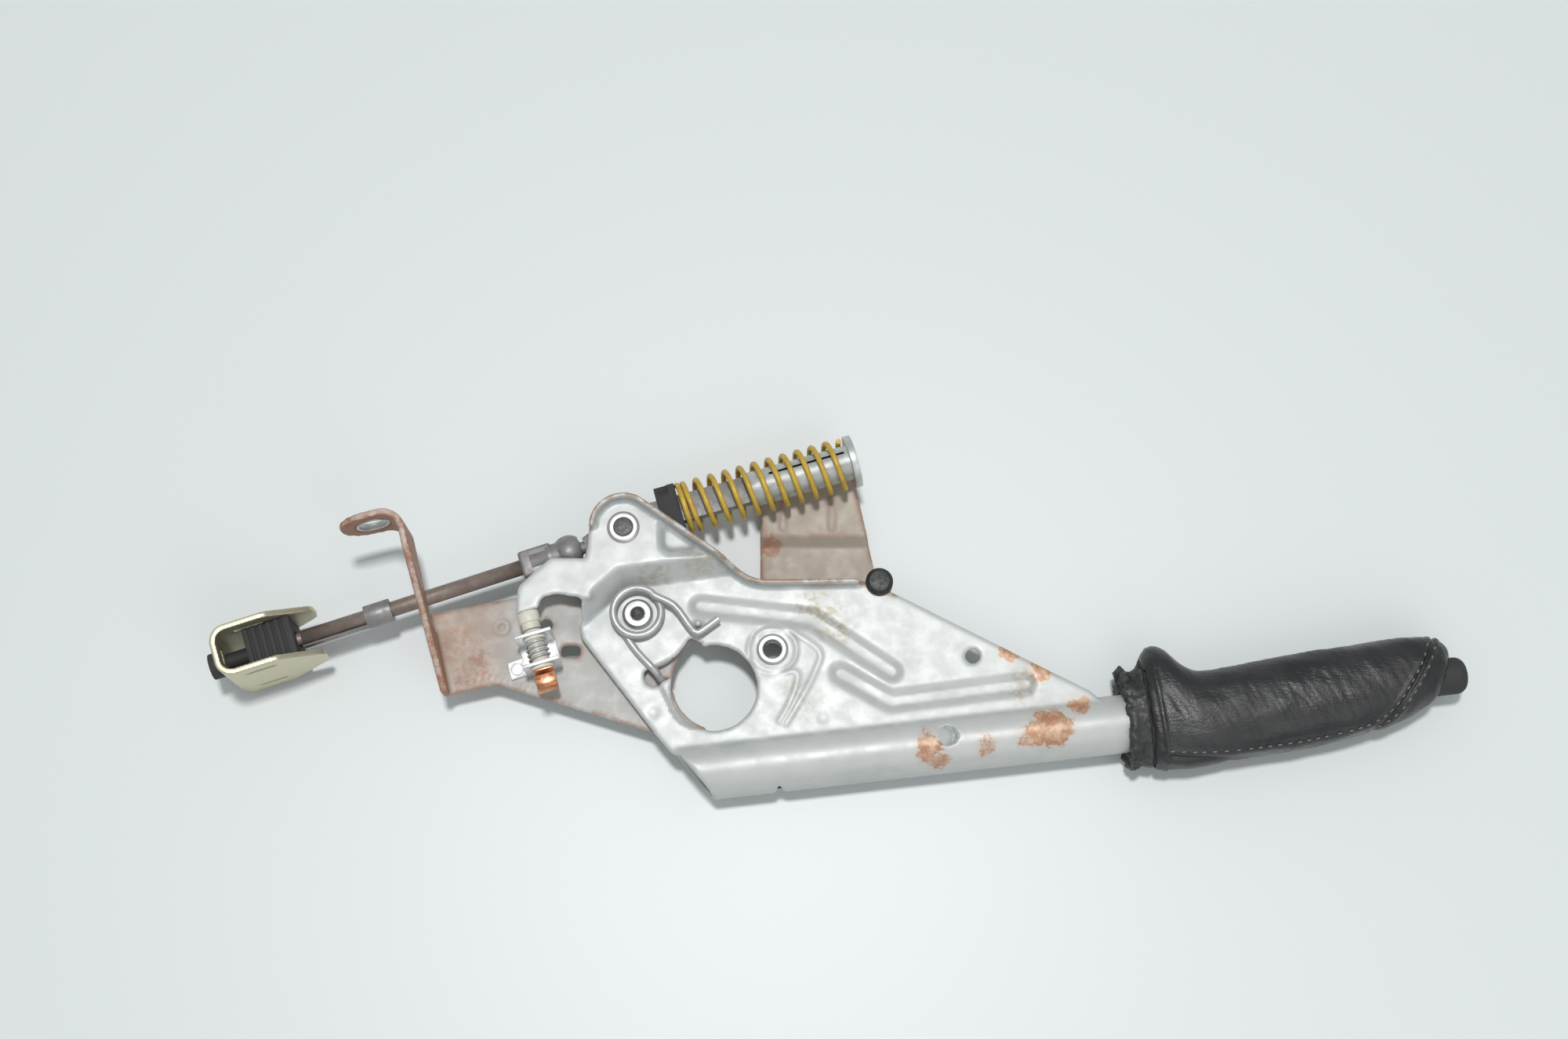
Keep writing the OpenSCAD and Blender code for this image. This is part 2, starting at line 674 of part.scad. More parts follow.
module grip_core() color("#2a2a2b") difference() {
    grip_solid(leather_t, 0, leather_t);
    handle_frame() translate([0, 0, handle_z]) rod_x(170, tube_end, tube_r);
    push_rod_frame() rod_x(200, 300, push_rod_r + fit);
    handle_frame() translate([0, button_rise, handle_z])
        rod_x(button_seat - button_travel, 320, button_r + fit);
}

// Torn rubber collar of the gaiter round the tube
module gaiter_collar() color("#19191a") handle_frame() translate([0, 0, handle_z]) difference() {
    folds = [[177.5, 19.5, -16], [179, 22, -18], [181.5, 18.6, -16.2], [184, 19.6, -17],
        [186, 22.6, -17.8]];
    loft([for (c = folds) grip_ring([c[0], c[1], c[2], 0.9], 0)]);
    rod_x(170, 190, tube_r);
}

// Release

module release_button() color("#232324") handle_frame() translate([0, button_rise, handle_z]) {
    round_r = 4;
    rod_x(button_start, button_end - round_r, button_r);
    translate([button_end - round_r, 0, 0]) rotate([0, 90, 0]) rotate_extrude()
        polygon(concat([[0, 0]], arc([button_r - round_r, 0], round_r, 0, 90), [[0, round_r]]));
}

module push_rod() color("#7d7e80") push_rod_frame() {
    rod_x(pawl_arm_x + 3.5 + clear, button_start, push_rod_r);
    rod_x(188, 190, 4.4);
}

// Plastic guide in the tube that carries the push rod and the spring
module rod_guide() color("#3a3a3c") difference() {
    handle_frame() translate([0, 0, handle_z]) rod_x(148, 156, tube_r - tube_wall);
    push_rod_frame() rod_x(140, 160, push_rod_r + fit);
}

module button_spring() color("#a9aaa8") push_rod_frame() {
    turns = 7;
    steps = 14;
    start = 157;
    length = 30;
    coil_r = 3.6;
    wire([for (k = [0:turns * steps]) let (a = k * 360 / steps)
        [start + length * k / (turns * steps), coil_r * cos(a), coil_r * sin(a)]], 0.6, [1, 0, 0], 6);
}

// Place along the tube of the pawl's lower arm
pawl_arm_x = 49.1;

// Point given along and across the handle, seen from the main pivot
function handle_point(x, y) =
    let (c = cos(handle_turn), s = sin(handle_turn)) [x * c - y * s, x * s + y * c];

// Corner on the pawl's lower arm, rounded by r
function arm_corner(x, y, r) = let (p = handle_point(pawl_arm_x + x, y)) [p[0], p[1], r];

// Bell-crank pawl: one arm to the ratchet, the other down to the push rod
module pawl() color("#77787a") sheet(pawl_z, pawl_t - 0.1) difference() {
    tip_a = 52;
    tip = (sector_r + pawl_gap) * [cos(tip_a), sin(tip_a)];
    arm_end = push_rod_drop - 2.5;
    polygon(rounded([[tip[0], tip[1], 0], [19.4, 16.4, 2], [43, -12, 5], arm_corner(-3.5, -32, 6),
        arm_corner(-3.5, arm_end, 3), arm_corner(3.5, arm_end, 3), arm_corner(3.5, -32, 6), [59.5, -15, 7],
        [55, -3.5, 7], [24, 20, 3], [17, 23.4, 3]]));
    translate(pawl_at) circle(pawl_pin_r + fit);
}

// Adjuster and pull rod

bar_end = 66;

// Half section of the ball and its socket for a radius of 1, turned about the axis that the rod swings on
ball_section = [[0, -0.96], [0.39, -0.93], [0.75, -0.68], [0.965, -0.29], [0.965, 0.29], [0.75, 0.68],
    [0.39, 0.93], [0, 0.96]];

module turned_ball(r) rotate_extrude() polygon(r * ball_section);

// Flat bar with an eye on the clevis pin and a cheek for the ball
module adjuster_bar() color("#6f7072") difference() {
    union() {
        bar_frame() translate([0, -bar_w / 2, -bar_t / 2]) cube([bar_end, bar_w, bar_t]);
        sheet(rod_z - bar_t / 2, bar_t)
            polygon(rounded([[ball_at[0] + 5, ball_at[1] - 3, 0], [0, 26, 6], [9.2, 34, 3], [6.6, 42.6, 2],
                [-8, 40.6, 6], [ball_at[0] + 5, ball_at[1] + 5, 0]]));
        translate([clevis_at[0], clevis_at[1], rod_z - bar_t / 2])
            cylinder(h = zone_back - clear - rod_z + bar_t / 2, r = 7);
    }
    translate([clevis_at[0], clevis_at[1], rod_z - 10]) cylinder(h = 20, r = clevis_r + fit);
    translate([ball_at[0], ball_at[1], rod_z]) turned_ball(socket_r + 2 * clear);
}

// Ball on a neck at the bar's end
module ball_stud() color("#7c7d7f") rod_frame() {
    turned_ball(ball_r);
    rod_x(0, socket_r + 2 * clear + 1.5, 2.4);
}

// Plastic collar that carries the spring's closed end
module spring_collar() color("#232325") bar_frame() translate([spring_start - 8, 0, 0]) difference() {
    half_h = zone_back - rod_z - 0.5;
    intersection() {
        union() {
            rod_x(0, 5, sleeve_r + 1.6);
            rod_x(5, 8 - fit, spring_r + 0.2);
            for (q = [-1, 1]) translate([0, q * 8 - 2, -3]) cube([6, 4, 6]);
        }
        translate([-1, -20, -half_h]) cube([20, 40, 2 * half_h]);
    }
    translate([-2, -bar_w / 2 - fit, -bar_t / 2 - fit]) cube([20, bar_w + 2 * fit, bar_t + 2 * fit]);
}

module tension_spring() color("#d3a92a") bar_frame() {
    wire_r = spring_wire / 2;
    coil_r = spring_r - wire_r;
    steps = 16;
    closed = 1.2;
    total = spring_turns * steps;
    pitch = spring_wire * 1.05;
    open_len = spring_len - 2 * wire_r - closed * pitch;
    wire([for (k = [0:total]) let (a = k * 360 / steps, n = k / steps)
        let (open = max(0, n - closed) / (spring_turns - closed))
        let (x = spring_start + wire_r + min(n, closed) * pitch + open * open_len)
        [x, coil_r * cos(a), coil_r * sin(a)]], wire_r, [1, 0, 0]);
}

// Split sleeve with an end flange, sliding on the bar
module tension_sleeve() color("#b9bdbb") bar_frame() {
    start = 51;
    end = spring_start + spring_len + 3;
    difference() {
        union() {
            rod_x(start, end, sleeve_r);
            rod_x(end - 2.6, end, spring_r - 0.2);
        }
        rod_x(start - 1, end - 1.6, sleeve_r - sleeve_wall);
        translate([start + 8, 2.2, 0]) cube([end - start - 12, 1, 20]);
    }
}

// Crimped socket round the ball, open towards the bar
module rod_socket() color("#66676a") rod_frame() difference() {
    union() {
        turned_ball(socket_r);
        rod_x(-15, 0, socket_r - 1.4);
        rod_x(-8.4, -6.4, socket_r - 0.9);
    }
    turned_ball(ball_r + clear / 2);
    rod_x(0, 20, 4.6);
    rod_x(-16, -7.5, rod_r);
}

// Rod with a flat eye for the equalizer's pin
module pull_rod() color("#7b6459") rod_frame() difference() {
    union() {
        rod_x(-rod_len, -7.5, rod_r);
        translate([-rod_len, rod_r - 0.1, 0]) rotate([90, 0, 0]) cylinder(h = 2 * rod_r - 0.2, r = eye_r);
    }
    translate([-rod_len, 10, 0]) rotate([90, 0, 0]) cylinder(h = 20, r = equalizer_pin_r + fit);
}

// Distance of the clip from the rod's eye
clip_from_eye = 36.5;

// Sheet clip round the rod with a thin leaf under it
module rod_clip() color("#4c4d50") rod_frame() translate([clip_from_eye - rod_len, 0, 0]) {
    difference() {
        rod_x(-5, 5, rod_r + 2);
        rod_x(-6, 6, rod_r);
    }
    translate([-30, -rod_r - 1.4, -2]) cube([30, 0.6, 4]);
}

// Equalizer

// Radius of the rod's eye, of the pin through it, and the insert's reach to the plug
eye_r = 4.2;
equalizer_pin_r = 1.8;
insert_back = -13;

module yoke_frame() rod_frame() translate([-rod_len, 0, 0]) children();

// Bent U of sheet with tapered cheeks, open towards the lever
module equalizer_yoke() color("#c8c2a2") yoke_frame() {
    back = -22;
    half = yoke_gap / 2;
    bend = 4;
    front = back + yoke_len;
    taper = back + yoke_len * 0.55;
    behind = back - yoke_t - 1;
    top = yoke_h / 2;
    path = rounded([[front, half, 0], [back, half, bend], [back, -half, bend], [front, -half, 0]]);
    difference() {
        intersection() {
            translate([0, 0, -top]) linear_extrude(yoke_h) ribbon(path, -yoke_t);
            rotate([90, 0, 0]) translate([0, 0, -yoke_gap]) linear_extrude(2 * yoke_gap)
                polygon(rounded([[behind, -top, 0], [taper, -top, 5], [front, -5, 5], [front, 5, 5],
                    [taper, top, 5], [behind, top, 0]]));
        }
        for (z = [-10, 10]) translate([back - 5, -3, z - 1.5]) cube([18, 6, 3]);
        for (z = [-11, 11]) translate([back + 6, -yoke_gap, z - 1]) cube([12, 2 * yoke_gap, 2]);
        translate([back - 5, 0, 0]) rod_x(0, 10, 3.2);
    }
}

// Ribbed block that joins the rod's eye to the yoke
module cable_insert() color("#1e1e20") yoke_frame() {
    half = yoke_gap / 2 - 0.1;
    front = 5;
    slot = eye_r + 2 * clear;
    difference() {
        translate([insert_back, -half, -11]) cube([front - insert_back, 2 * half, 22]);
        translate([-slot, -rod_r - clear, -slot]) cube([slot + front + 1, 2 * (rod_r + clear), 2 * slot]);
        translate([0, yoke_gap, 0]) rotate([90, 0, 0]) cylinder(h = 2 * yoke_gap, r = equalizer_pin_r);
        for (x = [insert_back + 2:3:front - 2]) translate([x, -half - 1, 10.2]) cube([1.2, 2 * half + 2, 2]);
    }
}

// Pin through the insert and the rod's eye
module equalizer_pin() color("#9b9c9d") yoke_frame()
    translate([0, yoke_gap / 2 - 0.1, 0]) rotate([90, 0, 0])
        cylinder(h = yoke_gap - 0.2, r = equalizer_pin_r);

// Plug that passes through the back of the yoke
module cable_plug() color("#1e1e20") yoke_frame() {
    rod_x(-26.4, insert_back, 3.1);
    rod_x(-29, -24.5, 5);
}

in_row_frame() mounting_bracket();
in_row_frame() ear_bush();
in_row_frame() ratchet_sector();
in_row_frame() sector_rivets();
in_row_frame() pivot_rivet();
in_row_frame() pivot_spacer();
in_row_frame() return_spring();
in_row_frame() switch_bracket();
in_row_frame() switch_rivet();
in_row_frame() switch_body();
in_row_frame() switch_spring();
in_row_frame() contact_strap();
in_row_frame() switch_plunger();
in_row_frame() lever_plate();
in_row_frame() bump_stop();
in_row_frame() pawl_rivet();
in_row_frame() clevis_pin();
in_row_frame() pin_retainer();
in_row_frame() rod_guide();
in_row_frame() grip_core();
in_row_frame() grip_leather();
in_row_frame() gaiter_collar();
in_row_frame() button_spring();
in_row_frame() push_rod();
in_row_frame() release_button();
in_row_frame() pawl();
in_row_frame() adjuster_bar();
in_row_frame() ball_stud();
in_row_frame() spring_collar();
in_row_frame() tension_spring();
in_row_frame() tension_sleeve();
in_row_frame() rod_socket();
in_row_frame() pull_rod();
in_row_frame() rod_clip();
in_row_frame() equalizer_yoke();
in_row_frame() cable_insert();
in_row_frame() equalizer_pin();
in_row_frame() cable_plug();
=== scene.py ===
"""Looks of a parking brake lever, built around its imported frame."""

import json
import logging
import math
from collections.abc import Callable, Iterable, Sequence
from dataclasses import dataclass, field
from enum import Enum

import bmesh
import bpy
import numpy as np
from mathutils import Matrix, Vector, noise
from mathutils.bvhtree import BVHTree


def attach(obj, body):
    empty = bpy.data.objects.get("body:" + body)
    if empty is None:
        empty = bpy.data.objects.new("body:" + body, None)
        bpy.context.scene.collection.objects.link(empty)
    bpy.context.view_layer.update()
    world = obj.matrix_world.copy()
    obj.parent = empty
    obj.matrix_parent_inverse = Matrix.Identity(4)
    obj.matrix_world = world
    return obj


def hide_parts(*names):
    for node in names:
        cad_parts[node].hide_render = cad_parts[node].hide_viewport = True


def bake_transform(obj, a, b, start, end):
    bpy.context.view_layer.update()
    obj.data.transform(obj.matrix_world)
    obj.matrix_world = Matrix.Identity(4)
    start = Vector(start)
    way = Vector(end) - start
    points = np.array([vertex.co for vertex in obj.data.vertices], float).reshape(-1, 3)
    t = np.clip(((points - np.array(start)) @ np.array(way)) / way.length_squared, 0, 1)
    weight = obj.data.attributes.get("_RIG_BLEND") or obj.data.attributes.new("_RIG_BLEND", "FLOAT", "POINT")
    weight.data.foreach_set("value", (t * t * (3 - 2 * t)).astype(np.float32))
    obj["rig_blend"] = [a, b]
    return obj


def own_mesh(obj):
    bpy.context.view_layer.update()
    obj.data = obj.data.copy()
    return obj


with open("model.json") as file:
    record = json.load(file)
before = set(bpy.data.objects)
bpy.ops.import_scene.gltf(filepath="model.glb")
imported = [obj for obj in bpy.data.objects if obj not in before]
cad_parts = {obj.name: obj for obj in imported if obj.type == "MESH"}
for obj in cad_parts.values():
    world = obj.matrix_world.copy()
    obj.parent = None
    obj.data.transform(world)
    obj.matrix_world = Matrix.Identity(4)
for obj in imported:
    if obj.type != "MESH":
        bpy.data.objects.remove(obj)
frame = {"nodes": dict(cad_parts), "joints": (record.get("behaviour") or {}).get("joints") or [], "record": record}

LOG = logging.getLogger("brake_lever")
MM = 0.001
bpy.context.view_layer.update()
Colour = tuple[float, float, float]
Socket = bpy.types.NodeSocket


def joint(name: str) -> dict:
    """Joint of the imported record.

    Args:
        name: the joint's name.

    Returns:
        Its entry, with place and axis in the row frame.
    """
    return next(j for j in frame["joints"] if j["name"] == name)


BODY_OF = {n: b for b, nodes in frame["record"]["behaviour"]["bodies"].items() for n in nodes}
PIVOT = Vector(joint("lever_pull")["pos_m"])
HANDLE_DIR = -Vector(joint("button_press")["axis"])
BAR_DIR = -Vector(joint("tension_slide")["axis"])
SWITCH_DIR = -Vector(joint("plunger_travel")["axis"])
UP = Vector((0.0, 0.0, 1.0))

# Tube's axis: its distance beside the main pivot and its height above the table
HANDLE_DROP = -61 * MM
HANDLE_Z = 14.5 * MM
# Angle of the photograph above the horizon
VIEW_RISE = math.radians(75)
SIGHT = Vector((0.0, math.cos(VIEW_RISE), -math.sin(VIEW_RISE)))


def from_pivot(x: float, y: float, z: float) -> Vector:
    """Point given in millimetres beside the main pivot and above the table.

    Args:
        x: distance along the part.
        y: distance across the part.
        z: height above the table.

    Returns:
        The point in the row frame, in metres.
    """
    return Vector((PIVOT.x + x * MM, PIVOT.y + y * MM, z * MM))


def on_handle(s: float, across: float, up: float) -> Vector:
    """Point given in millimetres along, across and above the tube's axis.

    Args:
        s: distance along the tube from the pivot's foot.
        across: distance to the tube's left.
        up: height above the tube's axis.

    Returns:
        The point in the row frame, in metres.
    """
    left = UP.cross(HANDLE_DIR)
    flat = Vector((PIVOT.x, PIVOT.y, 0)) + HANDLE_DIR * (s * MM) + left * (HANDLE_DROP + across * MM)
    return Vector((flat.x, flat.y, HANDLE_Z + up * MM))


class Paint:
    """Node graph of one material, with short calls for the nodes that finishes share."""

    def __init__(self, name: str) -> None:
        """Start a material with one principled shader.

        Args:
            name: the material's name.
        """
        self.material = bpy.data.materials.new(name)
        self.material.use_nodes = True
        self.tree = self.material.node_tree
        self.shader = self.tree.nodes["Principled BSDF"]
        self.place = self.tree.nodes.new("ShaderNodeTexCoord").outputs["Object"]

    def give(self, socket: Socket, value: Socket | float | Sequence[float]) -> None:
        """Link a socket to another, or set its constant.

        Args:
            socket: the input.
            value: an output socket, a number or a colour.
        """
        if isinstance(value, bpy.types.NodeSocket):
            self.tree.links.new(value, socket)
        elif isinstance(value, (int, float)):
            socket.default_value = value
        else:
            full = tuple(value)
            socket.default_value = full + (1.0,) if len(full) < len(socket.default_value) else full

    def turned(self, angle: float, stretch: Sequence[float]) -> Socket:
        """Object coordinates turned about Z and stretched.

        Args:
            angle: turn in radians.
            stretch: scale along each turned axis.

        Returns:
            The vector output.
        """
        mapping = self.tree.nodes.new("ShaderNodeMapping")
        mapping.inputs["Rotation"].default_value = (0, 0, -angle)
        mapping.inputs["Scale"].default_value = tuple(stretch)
        self.give(mapping.inputs["Vector"], self.place)
        return mapping.outputs[0]

    def noise(self, scale: float, detail: float = 4, rough: float = 0.55, at: Socket | None = None) -> Socket:
        """Fractal noise.

        Args:
            scale: cells per metre.
            detail: octaves.
            rough: weight of the finer octaves.
            at: coordinates, the object's own by default.

        Returns:
            The noise value.
        """
        made = self.tree.nodes.new("ShaderNodeTexNoise")
        made.inputs["Scale"].default_value = scale
        made.inputs["Detail"].default_value = detail
        made.inputs["Roughness"].default_value = rough
        self.give(made.inputs["Vector"], at or self.place)
        return made.outputs["Fac"]

    def cells(self, scale: float) -> Socket:
        """Distance to the nearest cell centre, by the cells in a metre."""
        made = self.tree.nodes.new("ShaderNodeTexVoronoi")
        made.inputs["Scale"].default_value = scale
        self.give(made.inputs["Vector"], self.place)
        return made.outputs["Distance"]

    def sum(self, operation: str, a: Socket | float, b: Socket | float = 0.0) -> Socket:
        """Number worked out from two others.

        Args:
            operation: a Math node's operation.
            a: first number.
            b: second number.

        Returns:
            The result.
        """
        made = self.tree.nodes.new("ShaderNodeMath")
        made.operation = operation
        self.give(made.inputs[0], a)
        self.give(made.inputs[1], b)
        return made.outputs[0]

    def ramp(self, value: Socket, low: float, high: float, to: tuple[float, float] = (0.0, 1.0)) -> Socket:
        """Smooth step between two values.

        Args:
            value: the number to map.
            low: where the step begins.
            high: where it ends.
            to: results at both ends.

        Returns:
            The mapped number.
        """
        made = self.tree.nodes.new("ShaderNodeMapRange")
        made.interpolation_type = "SMOOTHSTEP"
        self.give(made.inputs["Value"], value)
        for name, number in zip(("From Min", "From Max", "To Min", "To Max"), (low, high, *to)):
            made.inputs[name].default_value = number
        return made.outputs["Result"]

    def mix(self, share: Socket | float, a: Socket | Colour, b: Socket | Colour) -> Socket:
        """Colour between two others.

        Args:
            share: how much of the second shows.
            a: first colour.
            b: second colour.

        Returns:
            The mixed colour.
        """
        made = self.tree.nodes.new("ShaderNodeMix")
        made.data_type = "RGBA"
        self.give(made.inputs[0], share)
        self.give(made.inputs[6], a)
        self.give(made.inputs[7], b)
        return made.outputs[2]

    def attribute(self, name: str) -> Socket:
        """Value of the piece's own attribute, by its name."""
        made = self.tree.nodes.new("ShaderNodeAttribute")
        made.attribute_name = name
        return made.outputs["Fac"]

    def along(self, axis: int) -> Socket:
        """Object coordinate along an axis, in metres, by its number."""
        made = self.tree.nodes.new("ShaderNodeSeparateXYZ")
        self.give(made.inputs[0], self.place)
        return made.outputs[axis]

    def spot(self, patch: "Patch", wobble: Socket) -> Socket:
        """Ragged round patch.

        Args:
            patch: its place, size and strength.
            wobble: noise that breaks its edge.

        Returns:
            Its strength inside the patch and 0 outside.
        """
        far = self.tree.nodes.new("ShaderNodeVectorMath")
        far.operation = "DISTANCE"
        self.give(far.inputs[0], self.place)
        self.give(far.inputs[1], tuple(patch.centre))
        radius = patch.radius * MM
        ragged = self.sum("MULTIPLY", self.sum("SUBTRACT", wobble, 0.5), radius * patch.ragged)
        inside = self.ramp(self.sum("ADD", far.outputs["Value"], ragged), radius * 1.25, radius * 0.35)
        return self.sum("MULTIPLY", inside, patch.strength)

    def spots(self, patches: Iterable["Patch"], wobble: Socket) -> Socket:
        """Several ragged patches in one mask.

        Args:
            patches: their places and sizes.
            wobble: noise that breaks their edges.

        Returns:
            The strongest patch at each point.
        """
        masks = [self.spot(patch, wobble) for patch in patches]
        total = masks[0]
        for mask in masks[1:]:
            total = self.sum("MAXIMUM", total, mask)
        return total

    def bump(self, height: Socket, depth: float) -> None:
        """Surface relief on the shader.

        Args:
            height: the relief, from 0 to 1.
            depth: its depth in metres.
        """
        made = self.tree.nodes.new("ShaderNodeBump")
        made.inputs["Strength"].default_value = 1.0
        made.inputs["Distance"].default_value = depth
        self.give(made.inputs["Height"], height)
        self.give(self.shader.inputs["Normal"], made.outputs["Normal"])


@dataclass(frozen=True)
class Patch:
    """Stained place: its centre in the row frame, radius in millimetres, strength and raggedness."""

    centre: Vector
    radius: float
    strength: float = 1.0
    ragged: float = 2.4


def patches(place: Callable[[float, float, float], Vector], *rows: tuple[float, ...]) -> tuple[Patch, ...]:
    """Patches given by rows of numbers.

    Args:
        place: turns a row's first three numbers into a point.
        rows: three coordinates, a radius and perhaps a strength.

    Returns:
        The patches.
    """
    return tuple(Patch(place(*row[:3]), *row[3:]) for row in rows)


@dataclass(frozen=True)
class Finish:
    """Mottled surface of two tones with fine relief and worn edges."""

    name: str
    tone: Colour
    stain: Colour
    metal: float = 0.0
    rough: tuple[float, float] = (0.4, 0.6)
    mottle: float = 120.0
    grain: float = 1500.0
    relief: float = 0.03
    worn: Colour | None = None
    wear: float = 0.6

    def colour(self, paint: Paint) -> Socket:
        """Colour of the surface.

        Args:
            paint: the material's graph.

        Returns:
            The colour output.
        """
        tone = paint.mix(paint.ramp(paint.noise(self.mottle, 6, 0.6), 0.35, 0.7), self.tone, self.stain)
        if self.worn:
            rub = paint.sum("MULTIPLY", paint.attribute("edge"), paint.ramp(paint.noise(400), 0.35, 0.6))
            tone = paint.mix(paint.sum("MULTIPLY", rub, self.wear), tone, self.worn)
        return tone

    def surface(self, paint: Paint) -> None:
        """Set roughness and relief, by the material's graph."""
        rough = paint.ramp(paint.noise(self.mottle * 2.3, 5), 0.3, 0.7, self.rough)
        paint.give(paint.shader.inputs["Roughness"], rough)
        paint.bump(paint.noise(self.grain, 5, 0.65), self.relief * MM)

    def material(self) -> bpy.types.Material:
        """Material of this finish, made once.

        Returns:
            The Blender material.
        """
        made = bpy.data.materials.get(self.name)
        if made:
            return made
        paint = Paint(self.name)
        paint.shader.inputs["Metallic"].default_value = self.metal
        paint.give(paint.shader.inputs["Base Color"], self.colour(paint))
        self.surface(paint)
        return paint.material


@dataclass(frozen=True)
class GalvanisedSheet(Finish):
    """Dull white zinc with painted shade in its hollows, random dark smudges, rust patches and a brown cut edge.
    """

    rust: tuple[Patch, ...] = ()
    grime: tuple[Patch, ...] = ()
    rust_tone: Colour = (0.40, 0.175, 0.08)
    pale_rust: Colour = (0.62, 0.42, 0.27)
    grime_tone: Colour = (0.33, 0.27, 0.16)
    # Grey-blue tone used both for random smudges and for the painted shade in the hollows
    smudge_and_hollow_shade: Colour = (0.31, 0.335, 0.34)
    cut_tone: Colour = (0.33, 0.21, 0.13)

    def colour(self, paint: Paint) -> Socket:
        """Colour of the sheet, by the material's graph."""
        tone = paint.mix(paint.ramp(paint.noise(self.mottle, 7, 0.62), 0.38, 0.72), self.tone, self.stain)
        smudge = paint.ramp(paint.noise(38, 6, 0.66), 0.52, 0.76, (0.0, 0.34))
        tone = paint.mix(smudge, tone, self.smudge_and_hollow_shade)
        # Painted shade: the sheet's hollows are darkened towards the grey-blue shade tone, broken up by noise
        hollow_shade = paint.sum("MULTIPLY", paint.attribute("hollow"), paint.ramp(paint.noise(95, 5), 0.25, 0.6))
        tone = paint.mix(paint.sum("MULTIPLY", hollow_shade, 0.75), tone, self.smudge_and_hollow_shade)
        broken = paint.noise(330, 6, 0.7)
        smear = paint.spots(self.grime, paint.noise(150, 5, 0.6))
        smear = paint.sum("MULTIPLY", smear, paint.ramp(broken, 0.4, 0.6))
        tone = paint.mix(paint.sum("MULTIPLY", smear, 0.7), tone, self.grime_tone)
        patch = paint.spots(self.rust, paint.noise(110, 5, 0.65))
        speckle = paint.sum("MULTIPLY", paint.noise(760, 6, 0.8), 1.2)
        flecks = paint.ramp(paint.sum("ADD", patch, speckle), 1.06, 1.42)
        worn = paint.ramp(paint.noise(210, 6, 0.7), 0.42, 0.6)
        core = paint.sum("MULTIPLY", paint.ramp(patch, 0.55, 1.0), worn)
        red = paint.mix(core, self.rust_tone, self.pale_rust)
        tone = paint.mix(paint.sum("MULTIPLY", patch, 0.35), tone, self.pale_rust)
        tone = paint.mix(paint.sum("MULTIPLY", flecks, 0.9), tone, red)
        cut = paint.sum("MULTIPLY", paint.attribute("cut"), paint.ramp(paint.noise(210, 4), 0.34, 0.56))
        return paint.mix(paint.sum("MULTIPLY", cut, 0.85), tone, self.cut_tone)


@dataclass(frozen=True)
class PrimedSheet(Finish):
    """Worn brown primer that goes grey under the lever and red with rust at the flange."""

    rust: tuple[Patch, ...] = ()
    grey: Colour = (0.48, 0.475, 0.455)
    red: Colour = (0.36, 0.15, 0.085)
    dusty: Colour = (0.56, 0.48, 0.42)
    flange: Colour = (0.37, 0.195, 0.125)
    arm: Colour = (0.44, 0.385, 0.325)
    flange_end: float = -66.0
    grey_start: float = -38.0
    arm_start: float = 20.0
    upright: float = 16.6

    def colour(self, paint: Paint) -> Socket:
        """Colour of the sheet, by the material's graph."""
        along = paint.along(0)
        ends = [(PIVOT.x + x * MM) for x in (self.flange_end, self.grey_start, self.arm_start)]
        tone = paint.mix(paint.ramp(paint.noise(self.mottle, 7, 0.65), 0.34, 0.68), self.tone, self.stain)
        tone = paint.mix(paint.ramp(along, ends[0], ends[1]), tone, self.grey)
        tone = paint.mix(paint.ramp(along, ends[2], ends[2] + 10 * MM), tone, self.arm)
        raised = paint.ramp(paint.along(2), self.upright * MM, (self.upright + 2) * MM)
        tone = paint.mix(raised, tone, self.flange)
        tone = paint.mix(paint.ramp(paint.noise(75, 6, 0.7), 0.55, 0.78, (0.0, 0.32)), tone, self.dusty)
        speckle = paint.sum("MULTIPLY", paint.noise(330, 6, 0.75), 1.1)
        patch = paint.sum("ADD", paint.spots(self.rust, paint.noise(90, 5, 0.7)), speckle)
        patch = paint.ramp(patch, 1.18, 1.6, (0.0, 0.8))
        edge = paint.sum("MULTIPLY", paint.attribute("edge"), paint.ramp(paint.noise(180, 5), 0.36, 0.58))
        rust = paint.sum("MAXIMUM", paint.sum("MULTIPLY", edge, 0.5), patch)
        bare = paint.sum("MULTIPLY", paint.attribute("cut"), paint.ramp(paint.noise(160, 6, 0.7), 0.36, 0.56))
        return paint.mix(paint.sum("MULTIPLY", bare, 0.8), paint.mix(rust, tone, self.red), self.dusty)


@dataclass(frozen=True)
class GrainedLeather(Finish):
    """Black leather with pebbled grain, slanting creases and a soft worn sheen."""

    crease_turn: float = 60.0

    def surface(self, paint: Paint) -> None:
        """Set roughness and the grain's relief, by the material's graph."""
        slant = paint.turned(math.radians(self.crease_turn), (1, 4, 1))
        crease = paint.noise(330, 6, 0.6, slant)
        pebble = paint.cells(self.grain)
        worn = paint.ramp(paint.noise(45, 5), 0.35, 0.7, self.rough)
        paint.give(paint.shader.inputs["Roughness"], worn)
        paint.shader.inputs["Specular IOR Level"].default_value = 0.55
        paint.bump(paint.sum("ADD", crease, paint.sum("MULTIPLY", pebble, 0.16)), self.relief * MM)


